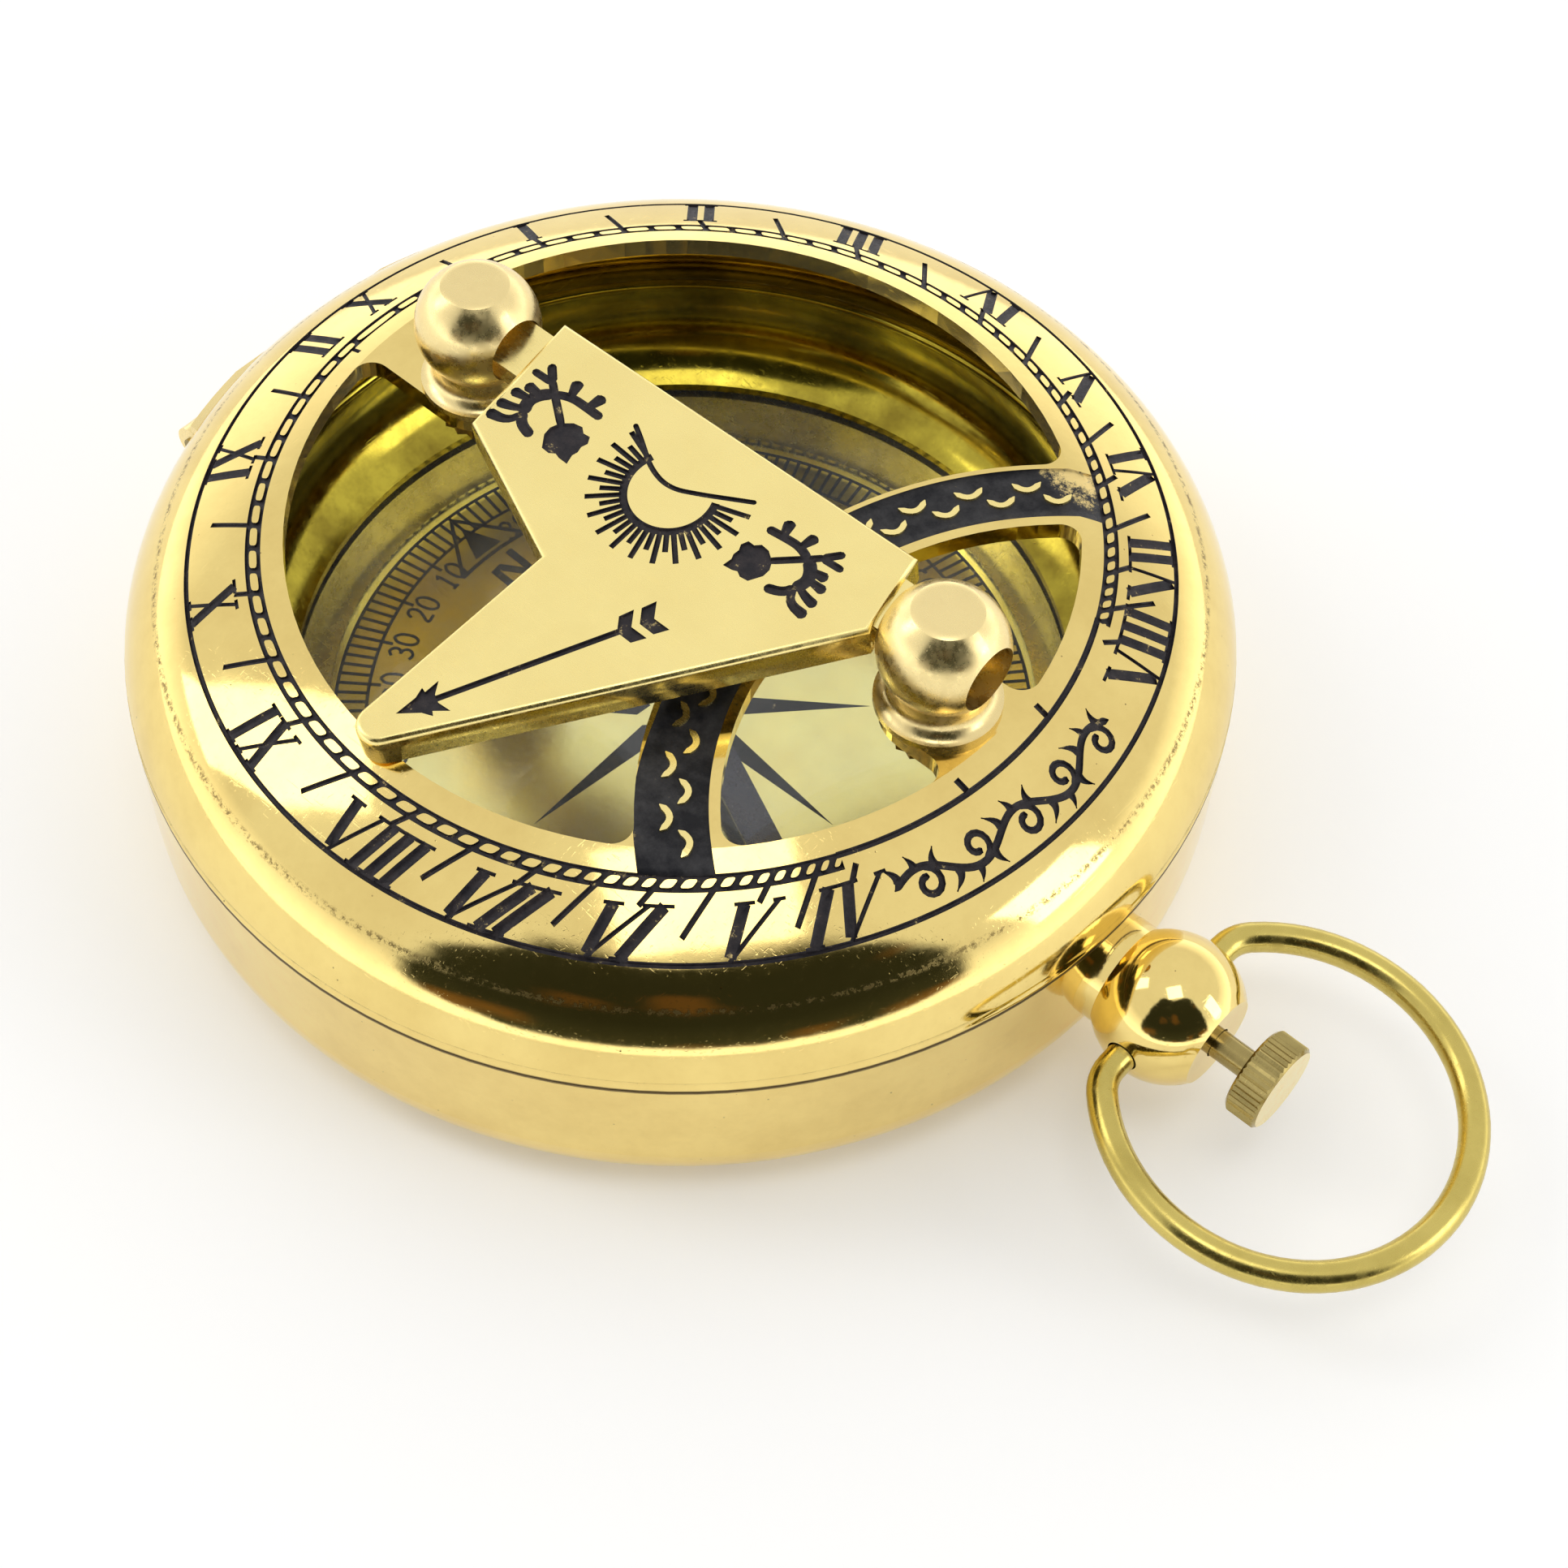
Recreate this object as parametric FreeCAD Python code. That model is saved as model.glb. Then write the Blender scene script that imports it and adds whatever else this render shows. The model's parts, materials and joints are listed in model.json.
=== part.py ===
"""Pocket sundial with a glazed compass: every separate piece as its own solid.

Millimetres. Origin at the centre of the flat bottom, +Z up, +X towards the pendant
(the dial's south), so the lid hinge and the XII mark lie towards -X.
"""
import FreeCAD, Part
import math
import os

# ---- driving dimensions -------------------------------------------------------------
CASE_R = 25.0            # outer radius of the case
SEAM_Z = 8.75            # height of the joint between base and lid
WALL = 0.9               # wall thickness of base and lid
BASE_CORNER_R = 3.3      # outer corner radius at the foot of the base

LID_GAP = 0.05           # running gap at the seam
LID_BEAD_Z = 0.5         # height of the bead along the lid's rim
LID_GROOVE = 0.15        # depth of the groove above that bead
DIAL_OUTER_R = 21.83     # foot of the sloping hour ring
DIAL_OUTER_H = 4.35      # its height above the seam
WINDOW_R = 17.35         # edge of the windows, the crest of the hour ring
LID_TOP_H = 6.23         # height of that crest above the seam
SHOULDER_BULGE = 0.49
DIAL_BULGE = 0.09

BAND_CENTRE_X = 22.75    # crescent band: centre on the noon line, two concentric edges
BAND_INNER_R = 15.25
BAND_OUTER_R = 18.75
LUG_HALF_WIDTH = 2.5
WINDOW_CORNER_R = 0.9

POST_SOUTH_X = 14.4      # posts on the noon line, the gnomon's axis between them
POST_NORTH_X = -12.4
BALL_R = 2.825
BALL_H = 9.65            # ball centre above the seam
BALL_BORE_R = 1.5        # hole along the gnomon axis
BALL_FLAT_H = 2.47       # polished flat on top, above the ball's centre
BALL_FLAT_ROUND = 0.6
POST_FOOT_R = 2.75
POST_LIP_H = 0.3
POST_NECK_R = 2.1
POST_NECK_H = 1.1
STUD_R = 1.2
STUD_TAIL = 1.15         # length of stud below the lug
NUT_R = 2.15
NUT_THICKNESS = 0.9
NUT_TEETH = 18

PLATE_THICKNESS = 1.7
PLATE_TILT_DEG = 8.2     # how far the resting gnomon leans below level
PLATE_TIP = (-1.9, 20.8)  # sharp corner before it is rounded
PLATE_OUTLINE = [(11.1, -2.3), (11.9, 1.7), PLATE_TIP, (-1.2, 7.5), (-8.35, 4.4), (-8.9, -2.05)]
PLATE_TIP_R = 1.0
PLATE_EDGE_ROUND = 0.3
TONGUE_HALF_WIDTH = 1.3
TONGUE_HALF_THICKNESS = 0.6
TONGUE_R = 1.42
TONGUE_REACH = 0.6       # how far each tongue runs past its ball's centre
TONGUE_ROOT = 2.5
BALL_CLEARANCE = 0.2

HINGE_X = -23.65
BARREL_R = 1.0
BARREL_HALF_LENGTH = 8.5
KNUCKLES = 5
KNUCKLE_GAP = 0.06
HINGE_PIN_R = 0.45
HINGE_PIN_PLAY = 0.03
POCKET_HALF_WIDTH = 8.7
POCKET_HALF_HEIGHT = 1.6
POCKET_FRONT_X = -22.3
LEAF_INNER_Z = 1.15      # leaves lie between this and the pocket's half height
LEAF_BACK_X = -24.5
LEAF_FRONT_X = -22.9
WEB_HALF_WIDTH = 0.6

CARD_R = 18.6
CARD_TOP_Z = 1.3
DIAL_RING_INNER_R = 16.75
DIAL_RING_TOP_Z = 1.9    # its flat face; a rim outside the bezel lip carries the glass
GLASS_BOTTOM_Z = 3.2
GLASS_TOP_Z = 4.0
BEZEL_LIP_R = 18.1
BEZEL_LIP_Z = 4.4
BEZEL_SKIRT_R = 19.35
BEZEL_TOP_R = 20.6
BEZEL_TOP_Z = 8.5
BEZEL_FLANGE_Z = 8.05
BEZEL_BEAD_R = 0.35
BEZEL_BULGE = 0.8
BEZEL_THICKNESS = 0.6
BEZEL_LATCH_CUT_X = 21.3

PIVOT_R = 0.45
PIVOT_SHOULDER_Z = 2.0
PIVOT_TIP_Z = 2.7
NEEDLE_AZIMUTH_DEG = 155.3
NEEDLE_HALF_LENGTH = 14.3
NEEDLE_POINT_LENGTH = 2.4
NEEDLE_HALF_WIDTH = 0.8
NEEDLE_EYE_R = 1.15
NEEDLE_Z = 2.4
NEEDLE_THICKNESS = 0.25
CAP_R = 1.25
CAP_HUB_R = 0.75
CAP_TOP_Z = 3.05
CAP_FLANGE = 0.2

PENDANT_X = 28.1
PENDANT_Z = 5.5
PENDANT_R = 3.35
PENDANT_FACET = 2.6      # flat outer face, measured from the ball's centre
COLLAR_R = 2.45
COLLAR_END_X = 26.1
SOCKET_R = 1.6           # stud socket in the ball and matching hole in the wall
SOCKET_END_X = 26.2
STUD_INNER_X = 23.2
STUD_FLANGE_R = 2.4
STUD_FLANGE_END_X = 23.9
CHAMBER_R = 1.3
CHAMBER_END_X = 28.9
STEM_R = 0.65
STEM_BORE_R = 0.71
STEM_TIP_X = 22.98
STEM_COLLAR_R = 1.2
STEM_COLLAR_X = 28.35
STEM_COLLAR_LENGTH = 0.5
HEAD_R = 2.05
HEAD_X = 32.55
HEAD_THICKNESS = 1.55
HEAD_TEETH = 44
HEAD_TOOTH = 0.08
HEAD_CHAMFER = 0.15
SPRING_R = 1.0
SPRING_WIRE_R = 0.14
SPRING_TURNS = 4

BOW_WIRE_R = 0.675
BOW_RING_R = 7.9         # centreline of the ring
BOW_RING_OFFSET = 6.4    # ring centre from the ball's centre
BOW_BEND_R = 2.0
BOW_DROOP_DEG = 4.0
BOW_PIN_END_Y = 1.95
BOW_HOLE_END_Y = 1.85
BOW_HOLE_R = 0.74

LATCH_X = 22.775
LATCH_PIN_Z = 2.0
LATCH_THICKNESS = 0.35
LATCH_HALF_WIDTH = 1.5
LATCH_EYE_R = 0.5
LATCH_PIN_R = 0.3
LATCH_PIN_PLAY = 0.04
LATCH_HOOK_Z = SEAM_Z + 0.45
LATCH_HOOK_THICKNESS = 0.3
LATCH_HOOK_TIP_X = 23.45
EAR_INNER_Y = 1.75
EAR_OUTER_Y = 2.15
EAR_BACK_X = 20.8
EAR_TOP_Z = 2.4
STRIKE_X = 23.5
STRIKE_HALF_WIDTH = 1.6
STRIKE_BOTTOM = 0.1
STRIKE_TOP = 0.4

UP = FreeCAD.Vector(0, 0, 1)
SOUTH = FreeCAD.Vector(1, 0, 0)
EAST = FreeCAD.Vector(0, 1, 0)
ORIGIN = FreeCAD.Vector(0, 0, 0)
FAR = 60.0               # larger than the whole object, for cutting tools


# ---- drawing helpers ----------------------------------------------------------------
def bulged(start, end, sagitta):
    """An arc step for outline(): from start to end, bowed to the left by sagitta."""
    dx = end[0] - start[0]
    dz = end[1] - start[1]
    length = math.hypot(dx, dz)
    middle = ((start[0] + end[0]) / 2 - dz / length * sagitta,
              (start[1] + end[1]) / 2 + dx / length * sagitta)
    return (middle, end)


def outline(start, *steps):
    """A closed wire in the XZ plane. A step is a point, or a pair (point on arc, end)."""
    edges = []
    here = FreeCAD.Vector(start[0], 0, start[1])
    first = here
    for step in steps:
        if isinstance(step[0], tuple):
            middle = FreeCAD.Vector(step[0][0], 0, step[0][1])
            there = FreeCAD.Vector(step[1][0], 0, step[1][1])
            edges.append(Part.Arc(here, middle, there).toShape())
        else:
            there = FreeCAD.Vector(step[0], 0, step[1])
            edges.append(Part.makeLine(here, there))
        here = there
    if here.sub(first).Length > 1e-9:
        edges.append(Part.makeLine(here, first))
    return Part.Wire(edges)


def turned(start, *steps):
    """A solid of revolution about +Z from an outline of (radius, height) points."""
    return Part.Face(outline(start, *steps)).revolve(ORIGIN, UP, 360)


def block(x0, x1, y0, y1, z0, z1):
    return Part.makeBox(x1 - x0, y1 - y0, z1 - z0, FreeCAD.Vector(x0, y0, z0))


def disc(radius, z0, z1, x=0.0, y=0.0):
    return Part.makeCylinder(radius, z1 - z0, FreeCAD.Vector(x, y, z0), UP)


def rod(radius, x0, x1, z, y=0.0):
    """A cylinder along X."""
    return Part.makeCylinder(radius, x1 - x0, FreeCAD.Vector(x0, y, z), SOUTH)


def cross_rod(radius, y0, y1, x, z):
    """A cylinder along Y."""
    return Part.makeCylinder(radius, y1 - y0, FreeCAD.Vector(x, y0, z), EAST)


def ball(radius, x, z):
    return Part.makeSphere(radius, FreeCAD.Vector(x, 0, z))


def toothed_face(radius, depth, teeth):
    """A round face whose edge has small pointed teeth, in the XY plane."""
    points = []
    for index in range(2 * teeth):
        angle = math.pi * index / teeth
        reach = radius - depth * (index % 2)
        points.append(FreeCAD.Vector(reach * math.cos(angle), reach * math.sin(angle), 0))
    return Part.Face(Part.makePolygon(points + points[:1]))


# ---- base ---------------------------------------------------------------------------
def base_cavity():
    """The space inside the base, open upwards."""
    inner_r = CASE_R - WALL
    foot_r = CASE_R - BASE_CORNER_R
    reach = (BASE_CORNER_R - WALL) * math.sqrt(0.5)
    corner = (foot_r + reach, BASE_CORNER_R - reach)
    return turned((0, WALL), (foot_r, WALL), (corner, (inner_r, BASE_CORNER_R)),
                  (inner_r, SEAM_Z + FAR), (0, SEAM_Z + FAR))


def base_shell():
    foot_r = CASE_R - BASE_CORNER_R
    reach = BASE_CORNER_R * math.sqrt(0.5)
    corner = (foot_r + reach, BASE_CORNER_R - reach)
    body = turned((0, 0), (foot_r, 0), (corner, (CASE_R, BASE_CORNER_R)), (CASE_R, SEAM_Z), (0, SEAM_Z))
    recess = block(-FAR, POCKET_FRONT_X, -POCKET_HALF_WIDTH, POCKET_HALF_WIDTH,
                   SEAM_Z - POCKET_HALF_HEIGHT, FAR)
    return body.cut([base_cavity(), recess, rod(SOCKET_R, 0, FAR, PENDANT_Z)])


def compass_card():
    return disc(CARD_R, WALL, CARD_TOP_Z).cut(disc(PIVOT_R, 0, FAR))


def needle_pivot():
    return turned((0, WALL), (PIVOT_R, WALL), (PIVOT_R, PIVOT_SHOULDER_Z), (0, PIVOT_TIP_Z))


def dial_ring():
    return turned((DIAL_RING_INNER_R, CARD_TOP_Z), (CARD_R, CARD_TOP_Z), (CARD_R, GLASS_BOTTOM_Z),
                  (BEZEL_LIP_R, GLASS_BOTTOM_Z), (BEZEL_LIP_R, DIAL_RING_TOP_Z),
                  (DIAL_RING_INNER_R, DIAL_RING_TOP_Z))


def glass_crystal():
    return disc(CARD_R, GLASS_BOTTOM_Z, GLASS_TOP_Z)


def inner_bezel():
    """Skirt around the glass, concave wall above it and a beaded flange that meets the case."""
    lip = (BEZEL_LIP_R, BEZEL_LIP_Z)
    crest = (BEZEL_TOP_R, BEZEL_TOP_Z)
    back_top = (BEZEL_TOP_R + BEZEL_THICKNESS, BEZEL_FLANGE_Z)
    back_foot = (BEZEL_SKIRT_R, BEZEL_LIP_Z)
    ring = turned((CARD_R, WALL), (CARD_R, GLASS_TOP_Z), (BEZEL_LIP_R, GLASS_TOP_Z), lip,
                  bulged(lip, crest, -BEZEL_BULGE), (CASE_R - WALL, BEZEL_TOP_Z),
                  (CASE_R - WALL, BEZEL_FLANGE_Z), back_top,
                  bulged(back_top, back_foot, BEZEL_BULGE), (BEZEL_SKIRT_R, WALL))
    bead = Part.makeTorus(BEZEL_TOP_R + BEZEL_BEAD_R, BEZEL_BEAD_R, FreeCAD.Vector(0, 0, BEZEL_TOP_Z))
    hinge_notch = block(-FAR, POCKET_FRONT_X, -POCKET_HALF_WIDTH, POCKET_HALF_WIDTH, BEZEL_LIP_Z, FAR)
    latch_notch = block(BEZEL_LATCH_CUT_X, FAR, -EAR_INNER_Y, EAR_INNER_Y, BEZEL_LIP_Z, FAR)
    return ring.fuse(bead).cut([hinge_notch, latch_notch])


# ---- lid ----------------------------------------------------------------------------
def lid_dome():
    """The lid before its windows are cut: rim bead, shoulder, hour ring and flat top."""
    rim_z = SEAM_Z + LID_GAP
    groove_z = SEAM_Z + LID_BEAD_Z
    shoulder = (CASE_R - 0.05, groove_z + LID_GROOVE)
    dial_foot = (DIAL_OUTER_R, SEAM_Z + DIAL_OUTER_H)
    crest = (WINDOW_R, SEAM_Z + LID_TOP_H)
    inner_crest = (WINDOW_R, SEAM_Z + LID_TOP_H - WALL)
    inner_foot = (DIAL_OUTER_R - 0.45, SEAM_Z + DIAL_OUTER_H - 0.8)
    inner_rim = (CASE_R - WALL, groove_z + LID_GROOVE)
    return turned((CASE_R - WALL, rim_z), (CASE_R, rim_z), (CASE_R, groove_z - LID_GROOVE),
                  (CASE_R - LID_GROOVE, groove_z), shoulder,
                  bulged(shoulder, dial_foot, -SHOULDER_BULGE),
                  bulged(dial_foot, crest, -DIAL_BULGE), (0, SEAM_Z + LID_TOP_H),
                  (0, SEAM_Z + LID_TOP_H - WALL), inner_crest,
                  bulged(inner_crest, inner_foot, DIAL_BULGE),
                  bulged(inner_foot, inner_rim, SHOULDER_BULGE))


def lug_prism(post_x):
    """A lug from the hour ring to the post at post_x, with a round end under the post."""
    inner_x, outer_x = sorted((post_x, math.copysign(CASE_R, post_x)))
    arm = block(inner_x, outer_x, -LUG_HALF_WIDTH, LUG_HALF_WIDTH, SEAM_Z, SEAM_Z + FAR)
    return arm.fuse(disc(LUG_HALF_WIDTH, SEAM_Z, SEAM_Z + FAR, post_x))


def window_prisms():
    """Both openings between the hour ring, the crescent band and the lugs, corners rounded."""
    low = SEAM_Z
    high = SEAM_Z + FAR
    band = disc(BAND_OUTER_R, low, high, BAND_CENTRE_X).cut(disc(BAND_INNER_R, low, high, BAND_CENTRE_X))
    space = disc(WINDOW_R, low, high).cut([band, lug_prism(POST_SOUTH_X), lug_prism(POST_NORTH_X)])
    prisms = []
    for solid in space.Solids:
        floor = [face for face in solid.Faces if face.normalAt(0, 0).z < -0.9][0]
        rounded = floor.makeOffset2D(-WINDOW_CORNER_R).makeOffset2D(WINDOW_CORNER_R)
        prisms.append(rounded.extrude(FreeCAD.Vector(0, 0, FAR)))
    return prisms


def lid_shell():
    recess = block(-FAR, POCKET_FRONT_X, -POCKET_HALF_WIDTH, POCKET_HALF_WIDTH,
                   SEAM_Z, SEAM_Z + POCKET_HALF_HEIGHT)
    stud_holes = [disc(STUD_R, SEAM_Z, FAR, post_x) for post_x in (POST_SOUTH_X, POST_NORTH_X)]
    return lid_dome().cut(window_prisms() + [recess] + stud_holes)


def lid_strike():
    ledge = block(STRIKE_X, CASE_R, -STRIKE_HALF_WIDTH, STRIKE_HALF_WIDTH,
                  SEAM_Z + STRIKE_BOTTOM, SEAM_Z + STRIKE_TOP)
    return ledge.common(disc(CASE_R - WALL, SEAM_Z, SEAM_Z + WALL))


def flat_topped_ball():
    """The post's ball at the origin, its polished top flat with a rounded edge."""
    head = ball(BALL_R, 0, 0).common(disc(FAR, -FAR, BALL_FLAT_H))
    rim = [edge for edge in head.Edges if edge.BoundBox.ZMin > 0]
    return head.makeFillet(BALL_FLAT_ROUND, rim)


def gnomon_post(post_x):
    """Flared foot, waisted neck and cross-drilled ball, with a stud through the lug."""
    foot_z = SEAM_Z + LID_TOP_H
    centre_z = SEAM_Z + BALL_H
    lip = (POST_FOOT_R, foot_z + POST_LIP_H)
    waist = (POST_NECK_R, foot_z + POST_NECK_H)
    stem = turned((0, foot_z - WALL - STUD_TAIL), (STUD_R, foot_z - WALL - STUD_TAIL), (STUD_R, foot_z),
                  (POST_FOOT_R, foot_z), lip, bulged(lip, waist, 0.2), (POST_NECK_R, centre_z),
                  (0, centre_z))
    stem.translate(FreeCAD.Vector(post_x, 0, 0))
    head = flat_topped_ball()
    head.translate(FreeCAD.Vector(post_x, 0, centre_z))
    post = stem.fuse(head)
    return post.cut(rod(BALL_BORE_R, -FAR, FAR + FAR, centre_z))


def post_nuts():
    top_z = SEAM_Z + LID_TOP_H - WALL
    nuts = []
    for post_x in (POST_SOUTH_X, POST_NORTH_X):
        nut = toothed_face(NUT_R, 0.2, NUT_TEETH).extrude(FreeCAD.Vector(0, 0, NUT_THICKNESS))
        nut.translate(FreeCAD.Vector(post_x, 0, top_z - NUT_THICKNESS))
        nuts.append(nut.cut(disc(STUD_R, 0, FAR, post_x)))
    return Part.makeCompound(nuts)


# ---- hinge --------------------------------------------------------------------------
def knuckle_span(index):
    pitch = 2 * BARREL_HALF_LENGTH / KNUCKLES
    start = -BARREL_HALF_LENGTH + index * pitch
    return (start + KNUCKLE_GAP / 2, start + pitch - KNUCKLE_GAP / 2)


def hinge_leaf(side, first_knuckle, bore_r):
    """Leaf, webs and every second knuckle; side is -1 for the base and +1 for the lid."""
    inner_z, outer_z = sorted((side * LEAF_INNER_Z, side * POCKET_HALF_HEIGHT))
    leaf = block(LEAF_BACK_X, LEAF_FRONT_X, -BARREL_HALF_LENGTH, BARREL_HALF_LENGTH,
                 SEAM_Z + inner_z, SEAM_Z + outer_z).common(disc(CASE_R - 0.05, 0, FAR))
    knuckles = []
    for index in range(first_knuckle, KNUCKLES, 2):
        start, end = knuckle_span(index)
        low, high = sorted((0, side * LEAF_INNER_Z))
        knuckles.append(cross_rod(BARREL_R, start, end, HINGE_X, SEAM_Z))
        knuckles.append(block(HINGE_X - WEB_HALF_WIDTH, HINGE_X + WEB_HALF_WIDTH, start, end,
                              SEAM_Z + low, SEAM_Z + high))
    return leaf.fuse(knuckles).cut(cross_rod(bore_r, -FAR, FAR, HINGE_X, SEAM_Z))


def hinge_pin():
    return cross_rod(HINGE_PIN_R, -BARREL_HALF_LENGTH - 0.1, BARREL_HALF_LENGTH + 0.1, HINGE_X, SEAM_Z)


# ---- gnomon -------------------------------------------------------------------------
def gnomon_plate():
    """The folding gnomon, drawn flat with its axis on X, then leaned onto the hour ring."""
    points = [FreeCAD.Vector(s, -h, -PLATE_THICKNESS / 2) for s, h in PLATE_OUTLINE]
    plate = Part.Face(Part.makePolygon(points + points[:1])).extrude(FreeCAD.Vector(0, 0, PLATE_THICKNESS))
    tip = FreeCAD.Vector(PLATE_TIP[0], -PLATE_TIP[1], 0)
    tip_edge = [edge for edge in plate.Edges if edge.CenterOfMass.sub(tip).Length < 0.01]
    plate = plate.makeFillet(PLATE_TIP_R, tip_edge)
    rims = [edge for edge in plate.Edges if edge.CenterOfMass.z > PLATE_THICKNESS / 2 - 0.001]
    plate = plate.makeFillet(PLATE_EDGE_ROUND, rims)
    for post_x, side in ((POST_SOUTH_X, 1), (POST_NORTH_X, -1)):
        plate = plate.cut(ball(BALL_R + BALL_CLEARANCE, post_x, 0))
        near, far = sorted((post_x - side * (BALL_R + TONGUE_ROOT), post_x + side * TONGUE_REACH))
        tongue = block(near, far, -TONGUE_HALF_WIDTH, TONGUE_HALF_WIDTH,
                       -TONGUE_HALF_THICKNESS, TONGUE_HALF_THICKNESS)
        plate = plate.fuse(tongue.common(rod(TONGUE_R, near, far, 0)))
    plate.rotate(ORIGIN, SOUTH, PLATE_TILT_DEG)
    plate.translate(FreeCAD.Vector(0, 0, SEAM_Z + BALL_H))
    return plate


# ---- compass needle -----------------------------------------------------------------
def compass_needle():
    """A straight bar with pointed ends, widened to a round eye with a hole for its cap."""
    shoulder = NEEDLE_HALF_LENGTH - NEEDLE_POINT_LENGTH
    quarter = [(NEEDLE_HALF_LENGTH, 0), (shoulder, NEEDLE_HALF_WIDTH)]
    points = [FreeCAD.Vector(x, y, NEEDLE_Z) for x, y in quarter + [(-shoulder, NEEDLE_HALF_WIDTH)]]
    points += [FreeCAD.Vector(-p.x, -p.y, p.z) for p in points]
    blade = Part.Face(Part.makePolygon(points + points[:1])).extrude(FreeCAD.Vector(0, 0, NEEDLE_THICKNESS))
    blade = blade.fuse(disc(NEEDLE_EYE_R, NEEDLE_Z, NEEDLE_Z + NEEDLE_THICKNESS))
    blade = blade.cut(disc(CAP_HUB_R, 0, FAR))
    blade.rotate(ORIGIN, UP, NEEDLE_AZIMUTH_DEG)
    return blade


def needle_cap():
    """Brass cap: a hub through the needle, a flange on top and a conical cup below."""
    top = NEEDLE_Z + NEEDLE_THICKNESS
    return turned((0, PIVOT_TIP_Z + 0.04), (CAP_HUB_R - 0.3, NEEDLE_Z - CAP_FLANGE),
                  (CAP_HUB_R, NEEDLE_Z - CAP_FLANGE), (CAP_HUB_R, top), (CAP_R, top),
                  (CAP_R, top + CAP_FLANGE), (0, CAP_TOP_Z))


# ---- pendant, button and bow --------------------------------------------------------
def pendant_stud():
    """Flanged tube that carries the ball and guides the button stem through the wall."""
    tube = rod(SOCKET_R, STUD_INNER_X, SOCKET_END_X, PENDANT_Z)
    flange = rod(STUD_FLANGE_R, STUD_INNER_X, STUD_FLANGE_END_X, PENDANT_Z)
    return tube.fuse(flange).cut(rod(STEM_BORE_R, 0, FAR, PENDANT_Z))


def pendant_ball():
    body = ball(PENDANT_R, PENDANT_X, PENDANT_Z).fuse(rod(COLLAR_R, CASE_R - 1, COLLAR_END_X, PENDANT_Z))
    holes = [disc(CASE_R, 0, FAR), block(PENDANT_X + PENDANT_FACET, FAR, -FAR, FAR, -FAR, FAR),
             rod(SOCKET_R, 0, SOCKET_END_X, PENDANT_Z), rod(CHAMBER_R, 0, CHAMBER_END_X, PENDANT_Z),
             rod(STEM_BORE_R, 0, FAR, PENDANT_Z)]
    holes.append(cross_rod(BOW_HOLE_R, BOW_HOLE_END_Y, FAR, PENDANT_X, PENDANT_Z))
    holes.append(cross_rod(BOW_HOLE_R, -FAR, -BOW_HOLE_END_Y, PENDANT_X, PENDANT_Z))
    return body.cut(holes)


def button_stem():
    """Round rod with a domed inner tip and the collar that keeps it in the ball."""
    tip = STEM_TIP_X + STEM_R
    shaft = rod(STEM_R, tip, HEAD_X, PENDANT_Z).fuse(ball(STEM_R, tip, PENDANT_Z))
    return shaft.fuse(rod(STEM_COLLAR_R, STEM_COLLAR_X, STEM_COLLAR_X + STEM_COLLAR_LENGTH, PENDANT_Z))


def button_head():
    rim = toothed_face(HEAD_R, HEAD_TOOTH, HEAD_TEETH).extrude(FreeCAD.Vector(0, 0, HEAD_THICKNESS))
    inset = HEAD_R - HEAD_CHAMFER
    envelope = turned((0, 0), (inset, 0), (HEAD_R, HEAD_CHAMFER), (HEAD_R, HEAD_THICKNESS - HEAD_CHAMFER),
                      (inset, HEAD_THICKNESS), (0, HEAD_THICKNESS))
    head = rim.common(envelope)
    head.rotate(ORIGIN, EAST, 90)
    head.translate(FreeCAD.Vector(HEAD_X, 0, PENDANT_Z))
    return head


def button_spring():
    start = SOCKET_END_X + SPRING_WIRE_R
    length = STEM_COLLAR_X - SOCKET_END_X - 2 * SPRING_WIRE_R
    helix = Part.makeHelix(length / SPRING_TURNS, length, SPRING_R)
    circle = Part.makeCircle(SPRING_WIRE_R, FreeCAD.Vector(SPRING_R, 0, 0), EAST)
    coil = Part.Wire(helix).makePipeShell([Part.Wire([circle])], True, True)
    coil.rotate(ORIGIN, EAST, 90)
    coil.translate(FreeCAD.Vector(start, 0, PENDANT_Z))
    return coil


def bow_ring():
    """Round wire: two straight pivots in the ball, two tangent bends and the ring's long arc."""
    bend_y = math.sqrt((BOW_RING_R - BOW_BEND_R) ** 2 - (BOW_RING_OFFSET - BOW_BEND_R) ** 2)
    reach = BOW_RING_R / (BOW_RING_R - BOW_BEND_R)
    join = (BOW_RING_OFFSET + (BOW_BEND_R - BOW_RING_OFFSET) * reach, bend_y * reach)
    half_turn = math.atan2(join[1] - bend_y, BOW_BEND_R - join[0]) / 2
    bend_middle = (BOW_BEND_R * (1 - math.cos(half_turn)), bend_y + BOW_BEND_R * math.sin(half_turn))

    def at(point, side):
        return FreeCAD.Vector(point[0], side * point[1], 0)

    far_point = FreeCAD.Vector(BOW_RING_OFFSET + BOW_RING_R, 0, 0)
    path = [Part.makeLine(at((0, BOW_PIN_END_Y), 1), at((0, bend_y), 1)),
            Part.Arc(at((0, bend_y), 1), at(bend_middle, 1), at(join, 1)).toShape(),
            Part.Arc(at(join, 1), far_point, at(join, -1)).toShape(),
            Part.Arc(at(join, -1), at(bend_middle, -1), at((0, bend_y), -1)).toShape(),
            Part.makeLine(at((0, bend_y), -1), at((0, BOW_PIN_END_Y), -1))]
    section = Part.Wire([Part.makeCircle(BOW_WIRE_R, at((0, BOW_PIN_END_Y), 1), EAST)])
    bow = Part.Wire(path).makePipeShell([section], True, True)
    bow.rotate(ORIGIN, EAST, BOW_DROOP_DEG)
    bow.translate(FreeCAD.Vector(PENDANT_X, 0, PENDANT_Z))
    return bow


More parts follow.
